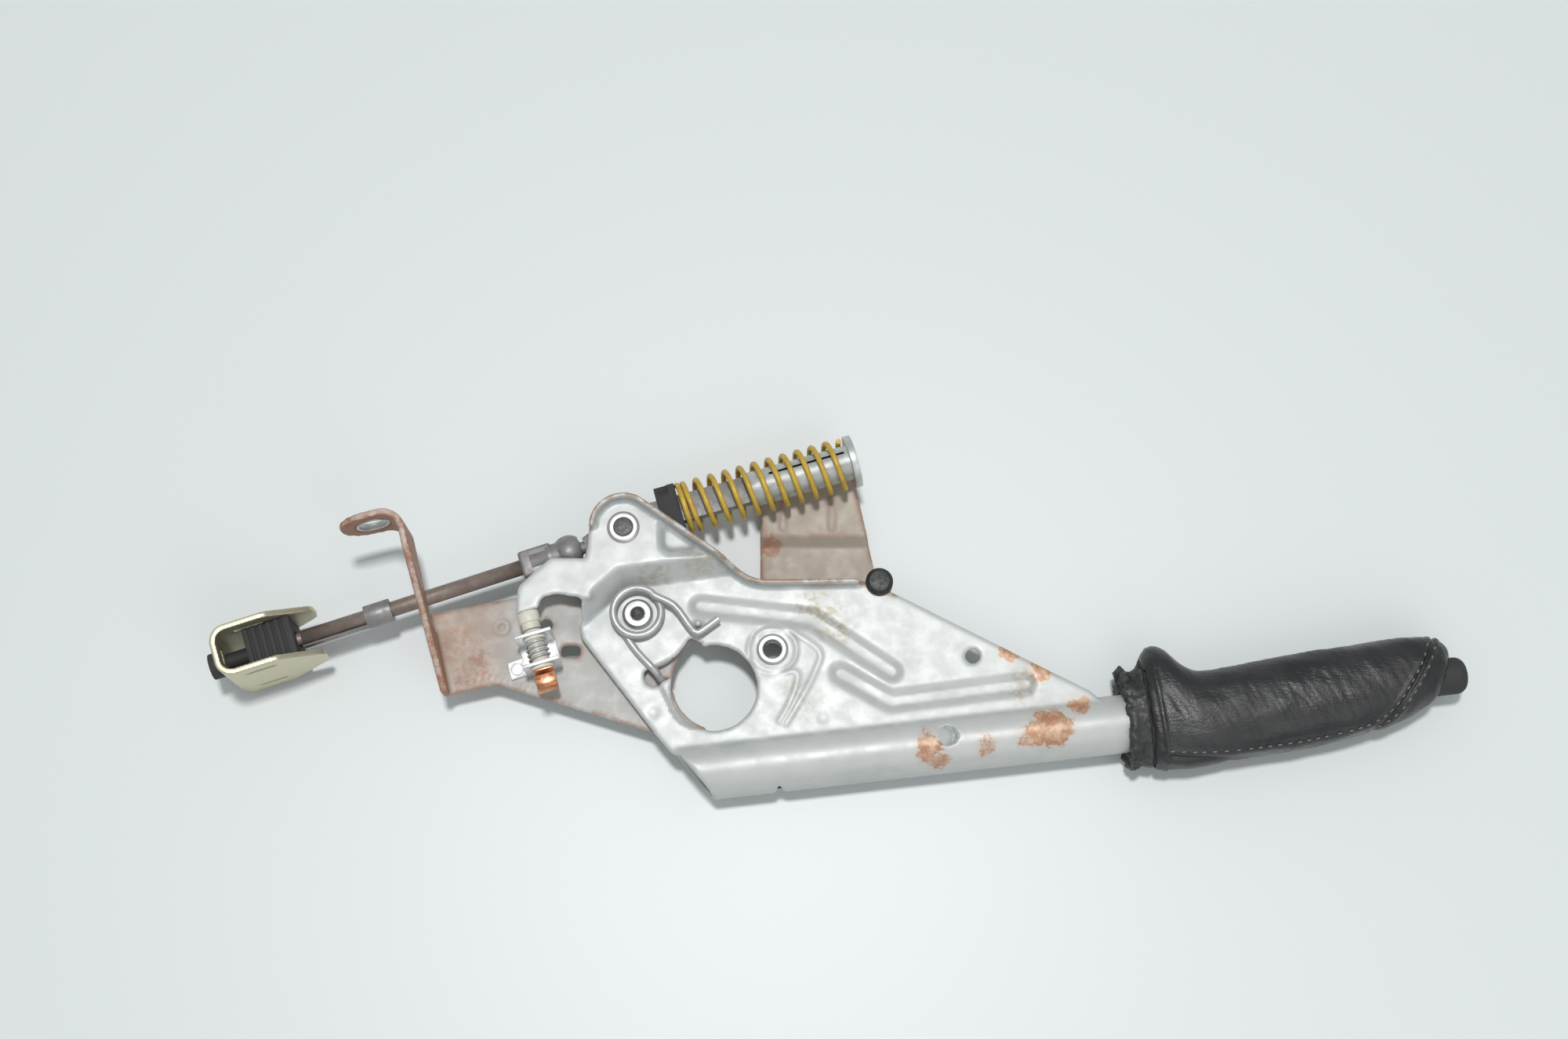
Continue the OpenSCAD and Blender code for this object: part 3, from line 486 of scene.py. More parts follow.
PRIMER_RUST = patches(from_pivot, (-70, -14, 25, 20, 0.72), (-84, 20, 36, 26, 0.7), (-62, -22, 16, 12, 0.8),
    (-50, -8, 16, 16, 0.5), (50, 31, 5, 7), (88, 40, 6, 8, 0.7), (-30, -32, 16, 8, 0.8))
TUBE_RUST = patches(on_handle, (103, -2, 9, 7), (105, -5, 7, 6, 0.8), (150, -1, 10, 9.5), (142, -2, 10, 7.5),
    (124, -4, 9, 6, 0.7), (160, 7, 8, 6, 0.8))
PLATE_RUST = patches(from_pivot, (141, -14, 22, 5), (152, -20, 22, 6), (30, -57, 12, 7, 0.5))
PLATE_GRIME = patches(from_pivot, (70, 2, 21, 10), (77, -6, 21, 6), (62, -33, 22, 9, 0.5),
    (146, -28, 21, 8, 0.7), (26, 17, 29, 9, 0.6), (6, 13, 26, 7, 0.6))


class Look(Enum):
    """Finishes of the part, by what they are in the photograph."""

    PRIMED = PrimedSheet("worn_primer", (0.40, 0.305, 0.245), (0.47, 0.395, 0.34),
        0.1, (0.45, 0.66), 60, 900, 0.05, rust=PRIMER_RUST)
    GALVANISED = GalvanisedSheet("white_zinc", (0.555, 0.568, 0.552), (0.50, 0.515, 0.506),
        0.15, (0.39, 0.48), 60, 1100, 0.012, rust=TUBE_RUST + PLATE_RUST, grime=PLATE_GRIME)
    SLEEVE = Finish("sleeve_zinc", (0.62, 0.65, 0.63), (0.48, 0.51, 0.50), 0.55,
        (0.28, 0.5), 180, 1200, 0.02, (0.75, 0.76, 0.75))
    STEEL = Finish("bare_steel", (0.50, 0.50, 0.485), (0.36, 0.355, 0.34), 0.75,
        (0.28, 0.5), 260, 2200, 0.02, (0.72, 0.72, 0.70))
    DARK_STEEL = Finish("phosphated_steel", (0.235, 0.23, 0.23), (0.33, 0.315, 0.305), 0.45,
        (0.38, 0.6), 160, 1500, 0.05, (0.42, 0.40, 0.38))
    OILED_STEEL = Finish("oiled_steel", (0.085, 0.085, 0.085), (0.16, 0.155, 0.15), 0.4,
        (0.4, 0.6), 700, 1400, 0.12)
    WIRE = Finish("spring_wire", (0.55, 0.555, 0.545), (0.45, 0.45, 0.44), 0.5,
        (0.32, 0.48), 220, 2400, 0.02)
    BRIGHT_ZINC = Finish("bright_zinc", (0.62, 0.63, 0.63), (0.52, 0.53, 0.53), 0.55,
        (0.22, 0.38), 160, 1200, 0.008, (0.85, 0.85, 0.85))
    YELLOW_ZINC = Finish("yellow_zinc", (0.40, 0.40, 0.355), (0.49, 0.495, 0.475), 0.75,
        (0.24, 0.40), 70, 1300, 0.012, (0.80, 0.80, 0.76))
    COPPER = Finish("bare_copper", (0.66, 0.31, 0.17), (0.48, 0.20, 0.10), 0.85,
        (0.22, 0.42), 240, 1800, 0.02, (0.85, 0.52, 0.36))
    NYLON = Finish("milky_nylon", (0.74, 0.72, 0.62), (0.66, 0.63, 0.52), 0.0, (0.35, 0.5), 180, 1600, 0.02)
    RUBBER = Finish("aged_rubber", (0.014, 0.014, 0.015), (0.030, 0.030, 0.030), 0.0,
        (0.36, 0.6), 420, 900, 0.10, (0.07, 0.07, 0.07))
    BLACK_PLASTIC = Finish("black_plastic", (0.018, 0.018, 0.019), (0.034, 0.034, 0.036), 0.0,
        (0.34, 0.5), 150, 1800, 0.03, (0.07, 0.07, 0.07))
    LEATHER = GrainedLeather("grained_leather", (0.015, 0.015, 0.016), (0.028, 0.028, 0.029), 0.0,
        (0.27, 0.46), 70, 1100, 0.2)
    THREAD = Finish("seam_thread", (0.22, 0.215, 0.19), (0.10, 0.10, 0.09), 0.0,
        (0.6, 0.8), 900, 5000, 0.05)
    YELLOW_PAINT = Finish("worn_yellow", (0.62, 0.42, 0.055), (0.50, 0.32, 0.05), 0.1,
        (0.32, 0.5), 260, 1400, 0.04)
    OXIDE = Finish("oxidised_rod", (0.225, 0.178, 0.15), (0.30, 0.245, 0.21), 0.35,
        (0.36, 0.56), 190, 1300, 0.05)


def add(name: str, mesh: bpy.types.Mesh) -> bpy.types.Object:
    """Object at the origin for a finished mesh.

    Args:
        name: the piece's name.
        mesh: its mesh, in the row frame.

    Returns:
        The linked object.
    """
    piece = bpy.data.objects.new(name, mesh)
    bpy.context.scene.collection.objects.link(piece)
    return piece


def solid(name: str, shape: bmesh.types.BMesh) -> bpy.types.Object:
    """Object at the origin for a finished shape, which is freed.

    Args:
        name: the piece's name.
        shape: its faces, in the row frame.

    Returns:
        The linked object.
    """
    mesh = bpy.data.meshes.new(name)
    shape.to_mesh(mesh)
    shape.free()
    return add(name, mesh)


def merged_copy(node: str) -> bpy.types.Mesh:
    """Copy of a CAD node's mesh with its loose triangles joined.

    Args:
        node: the CAD node.

    Returns:
        The new mesh.
    """
    mesh = frame["nodes"][node].data.copy()
    mesh.materials.clear()
    shape = bmesh.new()
    shape.from_mesh(mesh)
    bmesh.ops.remove_doubles(shape, verts=shape.verts, dist=0.002 * MM)
    shape.to_mesh(mesh)
    shape.free()
    return mesh


def frozen(piece: bpy.types.Object) -> bpy.types.Object:
    """Piece with its modifiers made part of its mesh.

    Args:
        piece: the object to freeze.

    Returns:
        The same object.
    """
    seen = piece.evaluated_get(bpy.context.evaluated_depsgraph_get())
    mesh = bpy.data.meshes.new_from_object(seen)
    piece.modifiers.clear()
    piece.data = mesh
    return piece


def skinned(node: str, name: str, voxel: float, passes: int) -> bpy.types.Object:
    """Copy of a CAD node as an even skin whose folds and edges are round.

    Args:
        node: the CAD node.
        name: the piece's name.
        voxel: size of the skin's cells, in millimetres.
        passes: how often the skin is smoothed.

    Returns:
        The new piece.
    """
    piece = add(name, merged_copy(node))
    skin = piece.modifiers.new("Skin", "REMESH")
    skin.mode = "VOXEL"
    skin.voxel_size = voxel * MM
    skin.use_smooth_shade = True
    soft = piece.modifiers.new("Soften", "SMOOTH")
    soft.factor = 0.5
    soft.iterations = passes
    return frozen(piece)


def softened(node: str, width: float, angle: float = 32.0) -> bpy.types.Object:
    """Copy of a CAD node with its sharp edges rounded and marked for wear.

    Args:
        node: the CAD node.
        width: width of the rounding, in millimetres.
        angle: smallest angle of an edge that is rounded, in degrees.

    Returns:
        The new piece.
    """
    mesh = merged_copy(node)
    shape = bmesh.new()
    shape.from_mesh(mesh)
    bmesh.ops.dissolve_limit(shape, angle_limit=math.radians(0.6), verts=shape.verts, edges=shape.edges)
    least = math.radians(angle)
    sharp = [e for e in shape.edges if len(e.link_faces) == 2 and e.calc_face_angle(0.0) > least]
    made = bmesh.ops.bevel(shape, geom=sharp, offset=width * MM, offset_type="OFFSET", affect="EDGES",
        segments=2, profile=0.5, material=-1, clamp_overlap=True)
    edge = shape.loops.layers.float.new("edge")
    for face in made["faces"]:
        for loop in face.loops:
            loop[edge] = 1.0
    for face in shape.faces:
        face.smooth = True
    shape.to_mesh(mesh)
    shape.free()
    mesh.set_sharp_from_angle(angle=math.radians(40))
    return add(f"{node}_finished", mesh)


def dress(piece: bpy.types.Object, look: Look, node: str | None = None,
        body: str | None = None) -> bpy.types.Object:
    """Give a piece its finish, its body and the CAD node that it stands for.

    Args:
        piece: the finished piece.
        look: its finish.
        node: the CAD node that it replaces.
        body: the body that it rides on, the node's own by default.

    Returns:
        The same piece.
    """
    piece.data.materials.clear()
    piece.data.materials.append(look.value.material())
    if body or "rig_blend" not in piece:
        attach(piece, body or BODY_OF[node])
    if node:
        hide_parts(node)
    LOG.info("%s: %d faces, %s", piece.name, len(piece.data.polygons), look.name.lower())
    return piece


class Skin:
    """Vertices of a dense piece as arrays, for pressing and marking them."""

    def __init__(self, piece: bpy.types.Object) -> None:
        """Read a piece's vertices.

        Args:
            piece: the piece to work on.
        """
        self.mesh = piece.data
        count = len(self.mesh.vertices)
        flat = np.empty(count * 3, np.float32)
        self.mesh.vertices.foreach_get("co", flat)
        self.points = flat.reshape(-1, 3).astype(float)
        self.mesh.vertex_normals.foreach_get("vector", flat)
        self.normals = flat.reshape(-1, 3).astype(float)
        pairs = np.empty(len(self.mesh.edges) * 2, np.int32)
        self.mesh.edges.foreach_get("vertices", pairs)
        self.pairs = pairs.reshape(-1, 2)

    def plan(self) -> np.ndarray:
        """Points in millimetres beside the main pivot, with the height above the table."""
        return (self.points - np.array((PIVOT.x, PIVOT.y, 0.0))) / MM

    def handle(self) -> np.ndarray:
        """Points in millimetres along, across and above the tube's axis."""
        start = on_handle(0, 0, 0)
        axes = np.array((HANDLE_DIR, UP.cross(HANDLE_DIR), UP))
        return (self.points - np.array(start)) @ axes.T / MM

    def means(self, values: np.ndarray) -> np.ndarray:
        """Mean of each vertex's neighbours.

        Args:
            values: one row for each vertex.

        Returns:
            The means.
        """
        total = np.zeros_like(values)
        count = np.zeros(len(values))
        for a, b in ((0, 1), (1, 0)):
            np.add.at(total, self.pairs[:, a], values[self.pairs[:, b]])
            np.add.at(count, self.pairs[:, a], 1)
        return total / np.maximum(count, 1)[:, None]

    def bends(self, reach: int) -> np.ndarray:
        """How far the smoothed surface lies outside each vertex, in millimetres.

        Args:
            reach: rounds of smoothing.

        Returns:
            Positive in hollows and negative on edges.
        """
        smooth = self.points
        for _ in range(reach):
            smooth = self.means(smooth)
        return np.einsum("ij,ij->i", smooth - self.points, self.normals) / MM

    def mark(self, name: str, values: np.ndarray) -> None:
        """Store a value for each vertex as an attribute.

        Args:
            name: the attribute's name.
            values: its values, kept between 0 and 1.
        """
        made = self.mesh.attributes.new(name, "FLOAT", "POINT")
        made.data.foreach_set("value", np.clip(values, 0, 1).astype(np.float32))

    def mark_bends(self, reach: int, full: float) -> None:
        """Mark edges and hollows.

        Args:
            reach: rounds of smoothing that set how wide the marks are.
            full: bend in millimetres at which a mark is full.
        """
        bend = self.bends(reach)
        self.mark("hollow", bend / full)
        self.mark("edge", -bend / full)

    def move(self, shift: np.ndarray) -> None:
        """Move the vertices.

        Args:
            shift: movement of each vertex, in millimetres.
        """
        self.points = self.points + shift * MM
        self.mesh.vertices.foreach_set("co", self.points.astype(np.float32).ravel())
        self.mesh.update()


def far_from(points: np.ndarray, path: Sequence[Sequence[float]]) -> np.ndarray:
    """Distance of points from a path in the plane.

    Args:
        points: two columns.
        path: corners of the path.

    Returns:
        The distances.
    """
    best = np.full(len(points), 1e9)
    for a, b in zip(path[:-1], path[1:]):
        a, b = np.array(a, float), np.array(b, float)
        run = b - a
        share = np.clip(((points - a) @ run) / (run @ run), 0, 1)
        best = np.minimum(best, np.linalg.norm(points - (a + share[:, None] * run), axis=1))
    return best


def within(points: np.ndarray, outline: Sequence[Sequence[float]]) -> np.ndarray:
    """Distance of points inside an outline from its edge.

    Args:
        points: two columns.
        outline: corners of the closed outline.

    Returns:
        The distance inside, and 0 outside.
    """
    inside = np.zeros(len(points), bool)
    for (ax, ay), (bx, by) in zip(outline, [*outline[1:], outline[0]]):
        level = (ay > points[:, 1]) != (by > points[:, 1])
        cross = ax + (points[:, 1] - ay) * (bx - ax) / (by - ay if by != ay else 1e-9)
        inside ^= level & (points[:, 0] < cross)
    return far_from(points, [*outline, outline[0]]) * inside


def hill(distance: np.ndarray, half: float) -> np.ndarray:
    """Round bump over a distance.

    Args:
        distance: how far each point is from the middle.
        half: half of the bump's width.

    Returns:
        1 in the middle and 0 beyond the half width.
    """
    share = np.clip(1 - distance / half, 0, 1)
    return share * share * (3 - 2 * share)


def smoothed(points: Sequence[Sequence[float]], steps: int) -> list[Vector]:
    """Smooth curve through points.

    Args:
        points: the points that it passes.
        steps: pieces between two points.

    Returns:
        Points along the curve.
    """
    p = [Vector(q) for q in points]
    p = [2 * p[0] - p[1], *p, 2 * p[-1] - p[-2]]
    made = []
    for i in range(1, len(p) - 2):
        a, b, c, d = p[i - 1:i + 3]
        for k in range(steps):
            t = k / steps
            made.append(0.5 * (2 * b + (c - a) * t + (2 * a - 5 * b + 4 * c - d) * t ** 2
                + (3 * b - a - 3 * c + d) * t ** 3))
    return [*made, p[-2]]


def plane_curve(points: Sequence[Sequence[float]], steps: int) -> list[tuple[float, float]]:
    """Smooth curve through points in the plane.

    Args:
        points: the points that it passes.
        steps: pieces between two points.

    Returns:
        Points along the curve.
    """
    return [tuple(p)[:2] for p in smoothed([(*q, 0) for q in points], steps)]


def waves(points: np.ndarray, stretch: Sequence[Sequence[float]]) -> np.ndarray:
    """Smooth noise at points.

    Args:
        points: one row for each point.
        stretch: rows that turn a point into the noise's own coordinates.

    Returns:
        A value from -1 to 1 for each point.
    """
    return np.array([noise.noise(Vector(p)) for p in points @ np.array(stretch).T])


@dataclass
class LeverPlate:
    """Pressed lever sheet with its rolled tube, in millimetres from the main pivot."""

    voxel: float = 0.8
    passes: int = 5
    sheet_mid: float = 21.0
    sheet_half: float = 3.4
    zone_mid: float = 29.0
    zone_half: float = 2.2
    ridges: tuple = (
        ((44.5, -8.0), (48.0, -5.4), (53.0, -5.2), (58.3, -6.8), (68.6, -14.1), (67.0, -22.0), (62.5, -31.0),
            (56.0, -42.0)),
        ((43.0, -17.5), (46.0, -20.6), (51.0, -22.4), (59.5, -22.0), (60.2, -26.0), (57.4, -34.0),
            (53.6, -41.0)),
    )
    ridge_half: float = 1.7
    ridge_rise: float = 0.45
    pawl_at: tuple[float, float] = (51.0, -13.5)
    ring_r: float = 9.1
    ring_half: float = 1.5
    ring_depth: float = 0.5
    dent_at: tuple[float, float] = (110.0, 1.5)
    dent_r: float = 3.8
    dent_depth: float = 2.0
    dent_floor: float = 2.0
    recess: tuple = ((7.0, 36.0), (7.6, 24.0), (11.0, 20.4), (26.0, 20.0), (35.5, 21.0), (29.0, 28.0),
        (18.5, 36.4), (11.0, 39.0))
    recess_depth: float = 1.3
    recess_slope: float = 2.5
    step: tuple = ((30.0, -28.0), (16.0, -15.5), (6.0, -20.6), (2.8, -23.0), (3.8, -26.3), (8.8, -27.6),
        (11.2, -32.0), (13.5, -37.4), (17.0, -41.2), (20.8, -43.2), (28.7, -44.0))
    step_depth: float = 1.1
    cut_half: float = 2.9
    lobe: tuple[float, float, float] = (-5.5, 32.0, 13.0)
    upper_run: tuple = ((44, 13), (84, 13.4), (97, 8.5))

    def upper_edge(self) -> list[tuple[float, float]]:
        """Line of the rim round the lobe and along the upper edge."""
        x, y, r = self.lobe
        turns = [math.radians(180 - k * 9) for k in range(15)]
        return [*((x + r * math.cos(a), y + r * math.sin(a)) for a in turns), *self.upper_run]

    def raised(self, plan: np.ndarray) -> np.ndarray:
        """Height of the fine ridges, less the groove round the pawl's rivet.

        Args:
            plan: the points from the main pivot.

        Returns:
            The rise of each point.
        """
        rise = np.zeros(len(plan))
        for ridge in self.ridges:
            apart = far_from(plan, plane_curve(ridge, 5))
            rise = np.maximum(rise, self.ridge_rise * hill(apart, self.ridge_half))
        ring = np.abs(np.linalg.norm(plan - np.array(self.pawl_at), axis=1) - self.ring_r)
        return rise - self.ring_depth * hill(ring, self.ring_half)

    def dent(self, spot: np.ndarray) -> np.ndarray:
        """Depth of the lanced dent in the tube.

        Args:
            spot: the points along, across and above the tube's axis.

        Returns:
            The depth at each point.
        """
        far = np.hypot(spot[:, 0] - self.dent_at[0], spot[:, 1] - self.dent_at[1])
        ramped = np.clip((spot[:, 0] - self.dent_at[0] + self.dent_r) / (1.5 * self.dent_r), 0, 1)
        return self.dent_depth * ramped * (far < self.dent_r) * (spot[:, 2] > self.dent_floor)

    def press(self, skin: Skin) -> None:
        """Press the ridges, the tube's dent, the sunk panel and the step beside the window.

        Args:
            skin: the sheet's vertices.
        """
        plan = skin.plan()
        flat = hill(np.abs(plan[:, 2] - self.sheet_mid), self.sheet_half) > 0.1
        zone = np.abs(plan[:, 2] - self.zone_mid) < self.zone_half
        panel = np.clip(within(plan[:, :2], self.recess) / self.recess_slope, 0, 1)
        sunk = self.recess_depth * panel * zone
        sunk += self.step_depth * (within(plan[:, :2], self.step) > 0) * flat
        shift = np.zeros_like(plan)
        shift[:, 2] = self.raised(plan[:, :2]) * flat - self.dent(skin.handle()) - sunk
        skin.move(shift)

    def build(self) -> None:
        """Make and dress the sheet."""
        piece = skinned("lever_plate", "lever_plate_pressing", self.voxel, self.passes)
        self.press(Skin(piece))
        skin = Skin(piece)
        skin.mark_bends(10, 0.42)
        rim = hill(far_from(skin.plan()[:, :2], self.upper_edge()), self.cut_half)
        skin.mark("cut", rim * 1.6 * (skin.normals[:, 2] > 0.25))
        dress(piece, Look.GALVANISED, "lever_plate")


@dataclass
class Bracket:
    """Bent sheet bracket with its flange, ear and ribbed pad."""

    voxel: float = 0.75
    passes: int = 5
    dimple_at: tuple[float, float] = (-52.1, -3.7)
    dimple_r: float = 2.38
    dimple_half: float = 1.3
    dimple_depth: float = 0.6
    peen_rows: int = 5
    peen_pitch: float = 2.4
    peen_fields: tuple = (((-60.0, -21.5), 10), ((-32.0, -31.5), 12))
    peen_turn: float = -16.0
    peen_r: float = 1.0
    peen_rise: float = 0.32
    top: float = 16.2
    flange_start: float = 21.2

    def peen_marks(self) -> list[tuple[float, float]]:
        """Places of the small peened dots, in rows along the bracket's lower edge."""
        turn = math.radians(self.peen_turn)
        along = np.array((math.cos(turn), math.sin(turn))) * self.peen_pitch
        down = np.array((along[1], -along[0])) * 0.8
        return [tuple(np.array(start) + along * i + down * k)
            for start, count in self.peen_fields for k in range(self.peen_rows) for i in range(count)]

    def build(self) -> None:
        """Make and dress the bracket."""
        piece = skinned("mounting_bracket", "mounting_bracket_sheet", self.voxel, self.passes)
        skin = Skin(piece)
        plan = skin.plan()
        front = (np.abs(plan[:, 2] - self.top) < 0.8) & (skin.normals[:, 2] > 0.7)
        ring = np.abs(np.linalg.norm(plan[:, :2] - np.array(self.dimple_at), axis=1) - self.dimple_r)
        rise = -self.dimple_depth * hill(ring, self.dimple_half)
        for mark in self.peen_marks():
            rise += self.peen_rise * hill(np.linalg.norm(plan[:, :2] - np.array(mark), axis=1), self.peen_r)
        shift = np.zeros_like(plan)
        shift[:, 2] = rise * front
        skin.move(shift)
        skin = Skin(piece)
        skin.mark_bends(8, 0.35)
        skin.mark("cut", (skin.normals[:, 2] > 0.6) * (plan[:, 2] > self.flange_start) * 1.0)
        dress(piece, Look.PRIMED, "mounting_bracket")


@dataclass
class Grip:
    """Leather grip with its seam and stitches, and the torn collar, in millimetres along the tube."""

    voxel: float = 1.15
    passes: int = 9
    seam: tuple = ((298.5, 20.0), (297.4, 17.9), (294.5, 13.7), (290.7, 7.7), (285.2, 0.3), (278.3, -7.8),
        (271.7, -12.6), (263.0, -15.4), (244.2, -17.6), (221.9, -18.2), (204.0, -17.4), (191.0, -15.6))
    lip: tuple[float, float, float] = (0.45, 1.7, 1.6)
    groove: tuple[float, float] = (0.75, 0.9)
    ridge: tuple[float, float] = (0.4, 1.3)
    ridge_at: float = 190.5
    ridge_lean: float = 0.03
    swell: tuple = ((0.10, 0.05, 0), (0, 0.16, 0), (0, 0, 0.12))
    swell_rise: float = 0.35
    crease: tuple = ((0.55, 0.25, 0), (-0.05, 0.12, 0), (0, 0, 0.2))
    crease_rise: float = 0.14
    sewn_end: float = 301.0
    stitch_pitch: float = 3.3
    stitch: tuple[float, float, float] = (0.95, 0.36, 0.34)
    stitch_lift: float = 0.12
    row_gap: float = 1.5
    second_row: float = 266.0
    seen_height: float = 26.0
    collar_voxel: float = 0.8
    tear_scale: float = 0.21
    torn_edge: float = 182.0

    def leather(self) -> bpy.types.Object:
        """Make the sewn sleeve.

        Returns:
            The dressed piece.
        """
        piece = skinned("grip_leather", "leather_sleeve", self.voxel, self.passes)
        fine = piece.modifiers.new("Fine", "SUBSURF")
        fine.levels = fine.render_levels = 1
        frozen(piece)
        skin = Skin(piece)
        spot = skin.handle()
        apart = far_from(spot[:, :2], plane_curve(self.seam, 6))
        lift = self.lip[0] * hill(np.abs(apart - self.lip[1]), self.lip[2])
        lift -= self.groove[0] * hill(apart, self.groove[1])
        ridge = np.abs(spot[:, 0] - self.ridge_at + self.ridge_lean * spot[:, 1])
        lift += self.ridge[0] * hill(ridge, self.ridge[1])
        lift += self.swell_rise * waves(spot, self.swell) + self.crease_rise * waves(spot, self.crease)
        lift *= spot[:, 0] < self.sewn_end
        shift = skin.normals * lift[:, None]
        shift[:, 2] = np.maximum(shift[:, 2], -skin.points[:, 2] / MM)
        skin.move(shift)
        dress(piece, Look.LEATHER, "grip_leather")
        return piece

    def seats(self) -> list[tuple[Vector, Vector]]:
        """Places of the stitches and the way each lies, in the plane along and across the tube."""
        line = [Vector(p) for p in plane_curve(self.seam, 12)]
        made = []
        walked = 0.0
        for a, b in zip(line[:-1], line[1:]):
            walked += (b - a).length
            if walked < self.stitch_pitch:
                continue
            walked = 0.0
            run = (b - a).normalized()
            side = Vector((-run.y, run.x))
            rows = (-1, 1) if b.x > self.second_row else (-1,)
            made += [(b + side * (row * self.row_gap), run) for row in rows]
        return made

    def stitches(self, sleeve: bpy.types.Object) -> None:
        """Sew thread along the seam.

        Args:
            sleeve: the leather that carries the stitches.
        """
        tree = BVHTree.FromObject(sleeve, bpy.context.evaluated_depsgraph_get())
        size = Matrix.Diagonal((*[k * MM for k in self.stitch], 1.0))
        shape = bmesh.new()
        for at, run in self.seats():
            eye = on_handle(at.x, at.y, self.seen_height - HANDLE_Z / MM)
            hit, normal, _, _ = tree.ray_cast(eye - SIGHT * 0.1, SIGHT)
            if hit is None:
                continue
            way = HANDLE_DIR * run.x + UP.cross(HANDLE_DIR) * run.y
            way = (way - normal * way.dot(normal)).normalized()
            turn = Matrix((way, normal.cross(way), normal)).transposed().to_4x4()
            seat = Matrix.Translation(hit + normal * self.stitch_lift * MM) @ turn @ size
            bmesh.ops.create_uvsphere(shape, u_segments=8, v_segments=5, radius=1.0, matrix=seat)
        for face in shape.faces:
            face.smooth = True
        dress(solid("seam_stitches", shape), Look.THREAD, body="lever")

    def collar(self) -> None:
        """Make the torn rubber collar."""
        piece = skinned("gaiter_collar", "torn_collar", self.collar_voxel, 4)
        skin = Skin(piece)
        spot = skin.handle()
        torn = np.array([noise.fractal(Vector(p) * self.tear_scale, 0.7, 2.0, 4) for p in spot])
        left = np.clip((self.torn_edge - spot[:, 0]) / 4.0, 0, 1)
        shift = skin.normals * (torn * (0.5 + 0.9 * left))[:, None]
        shift[:, 2] = np.maximum(shift[:, 2], -skin.points[:, 2] / MM + 0.2)
        skin.move(shift)
        Skin(piece).mark_bends(6, 0.3)
        dress(piece, Look.RUBBER, "gaiter_collar")

    def build(self) -> None:
        """Make the grip's pieces."""
        self.stitches(self.leather())
        self.collar()


@dataclass
class Coil:
    """Helical spring wound about an axis by spinning its wire's section."""

    name: str
    node: str
    start: Vector
    axis: Vector
    radius: float
    wire: float
    spans: tuple[tuple[float, float], ...]
    sides: int = 12
    steps: int = 28

    def build(self, look: Look) -> bpy.types.Object:
        """Wind and dress the spring.

        Args:
            look: its finish.

        Returns:
            The finished piece.
        """
        shape = bmesh.new()
        frame_x = self.axis.normalized()
        frame_y = UP.cross(frame_x).normalized()
        turn = Matrix((frame_x, frame_y, frame_x.cross(frame_y))).transposed().to_4x4()
        section = Matrix.Translation((0, self.radius * MM, 0))
        made = bmesh.ops.create_circle(shape, cap_ends=False, segments=self.sides, radius=self.wire * MM,
            matrix=section)
        ring: list = [*made["verts"], *{e for v in made["verts"] for e in v.link_edges}]
        for turns, advance in self.spans:
            steps = max(2, round(self.steps * turns))
            ring = bmesh.ops.spin(shape, geom=ring, cent=(0, 0, 0), axis=(1, 0, 0), angle=math.tau * turns,
                steps=steps, dvec=(advance * MM / steps, 0, 0), use_merge=False,
                use_duplicate=False)["geom_last"]
        bmesh.ops.holes_fill(shape, edges=[e for e in shape.edges if e.is_boundary], sides=0)
        bmesh.ops.transform(shape, verts=shape.verts, matrix=Matrix.Translation(self.start) @ turn)
        bmesh.ops.recalc_face_normals(shape, faces=shape.faces)
        for face in shape.faces:
            face.smooth = len(face.verts) == 4
        return dress(solid(self.name, shape), look, self.node)


@dataclass
class ReturnSpring:
    """Torsion spring round the main pivot, one leg on the lever and one hooked on the bracket."""

    wire: float = 1.45
    coil_r: float = 9.0
    foot: float = 23.6
    pitch: float = 2.75
    first: int = 235
    last: int = -320
    step: int = 15
    reach: float = 8.0

    def route(self) -> list[tuple[float, float, float]]:
        """Centre line of the wire, from the hook through the coil to the upper leg."""
        z, p = self.foot, self.pitch
        lower = [(9.4, -25.4, 15.0), (9.2, -25.0, 17.7), (8.4, -23.8, 20.2), (6.6, -21.6, z + 0.2),
            (0, -14.6, z)]
        coil = [(self.coil_r * math.cos(math.radians(a)), self.coil_r * math.sin(math.radians(a)),
            z + p * (self.first - a) / 360) for a in range(self.first, self.last - 1, -self.step)]
        upper = [(14, 2.2, z + p * 1.5), (19.2, -4.6, z + p * 1.2), (21.2, -7.1, z + p), (22.6, -7.9, z + p),
            (24.2, -7.4, z + p), (30.7, -2.6, z + p)]
        return lower + coil + upper

    def build(self) -> None:
        """Bend and dress the spring."""
        curve = bpy.data.curves.new("return_wire", "CURVE")
        curve.dimensions = "3D"
        curve.bevel_depth = self.wire * MM
        curve.bevel_resolution = 4
        curve.use_fill_caps = True
        points = smoothed([from_pivot(*p) for p in self.route()], 3)
        spline = curve.splines.new("POLY")
        spline.points.add(len(points) - 1)
        for point, place in zip(spline.points, points):
            point.co = (*place, 1.0)
        wire = add("return_wire", curve)
        mesh = bpy.data.meshes.new_from_object(wire.evaluated_get(bpy.context.evaluated_depsgraph_get()))
        bpy.data.objects.remove(wire)
        piece = add("return_spring_wire", mesh)
        for face in mesh.polygons:
            face.use_smooth = True
        slant = Vector((1, 1, 0)).normalized() * (self.reach * MM)
        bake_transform(piece, "bracket", "lever", start=PIVOT - slant, end=PIVOT + slant)
        dress(piece, Look.WIRE, "return_spring")


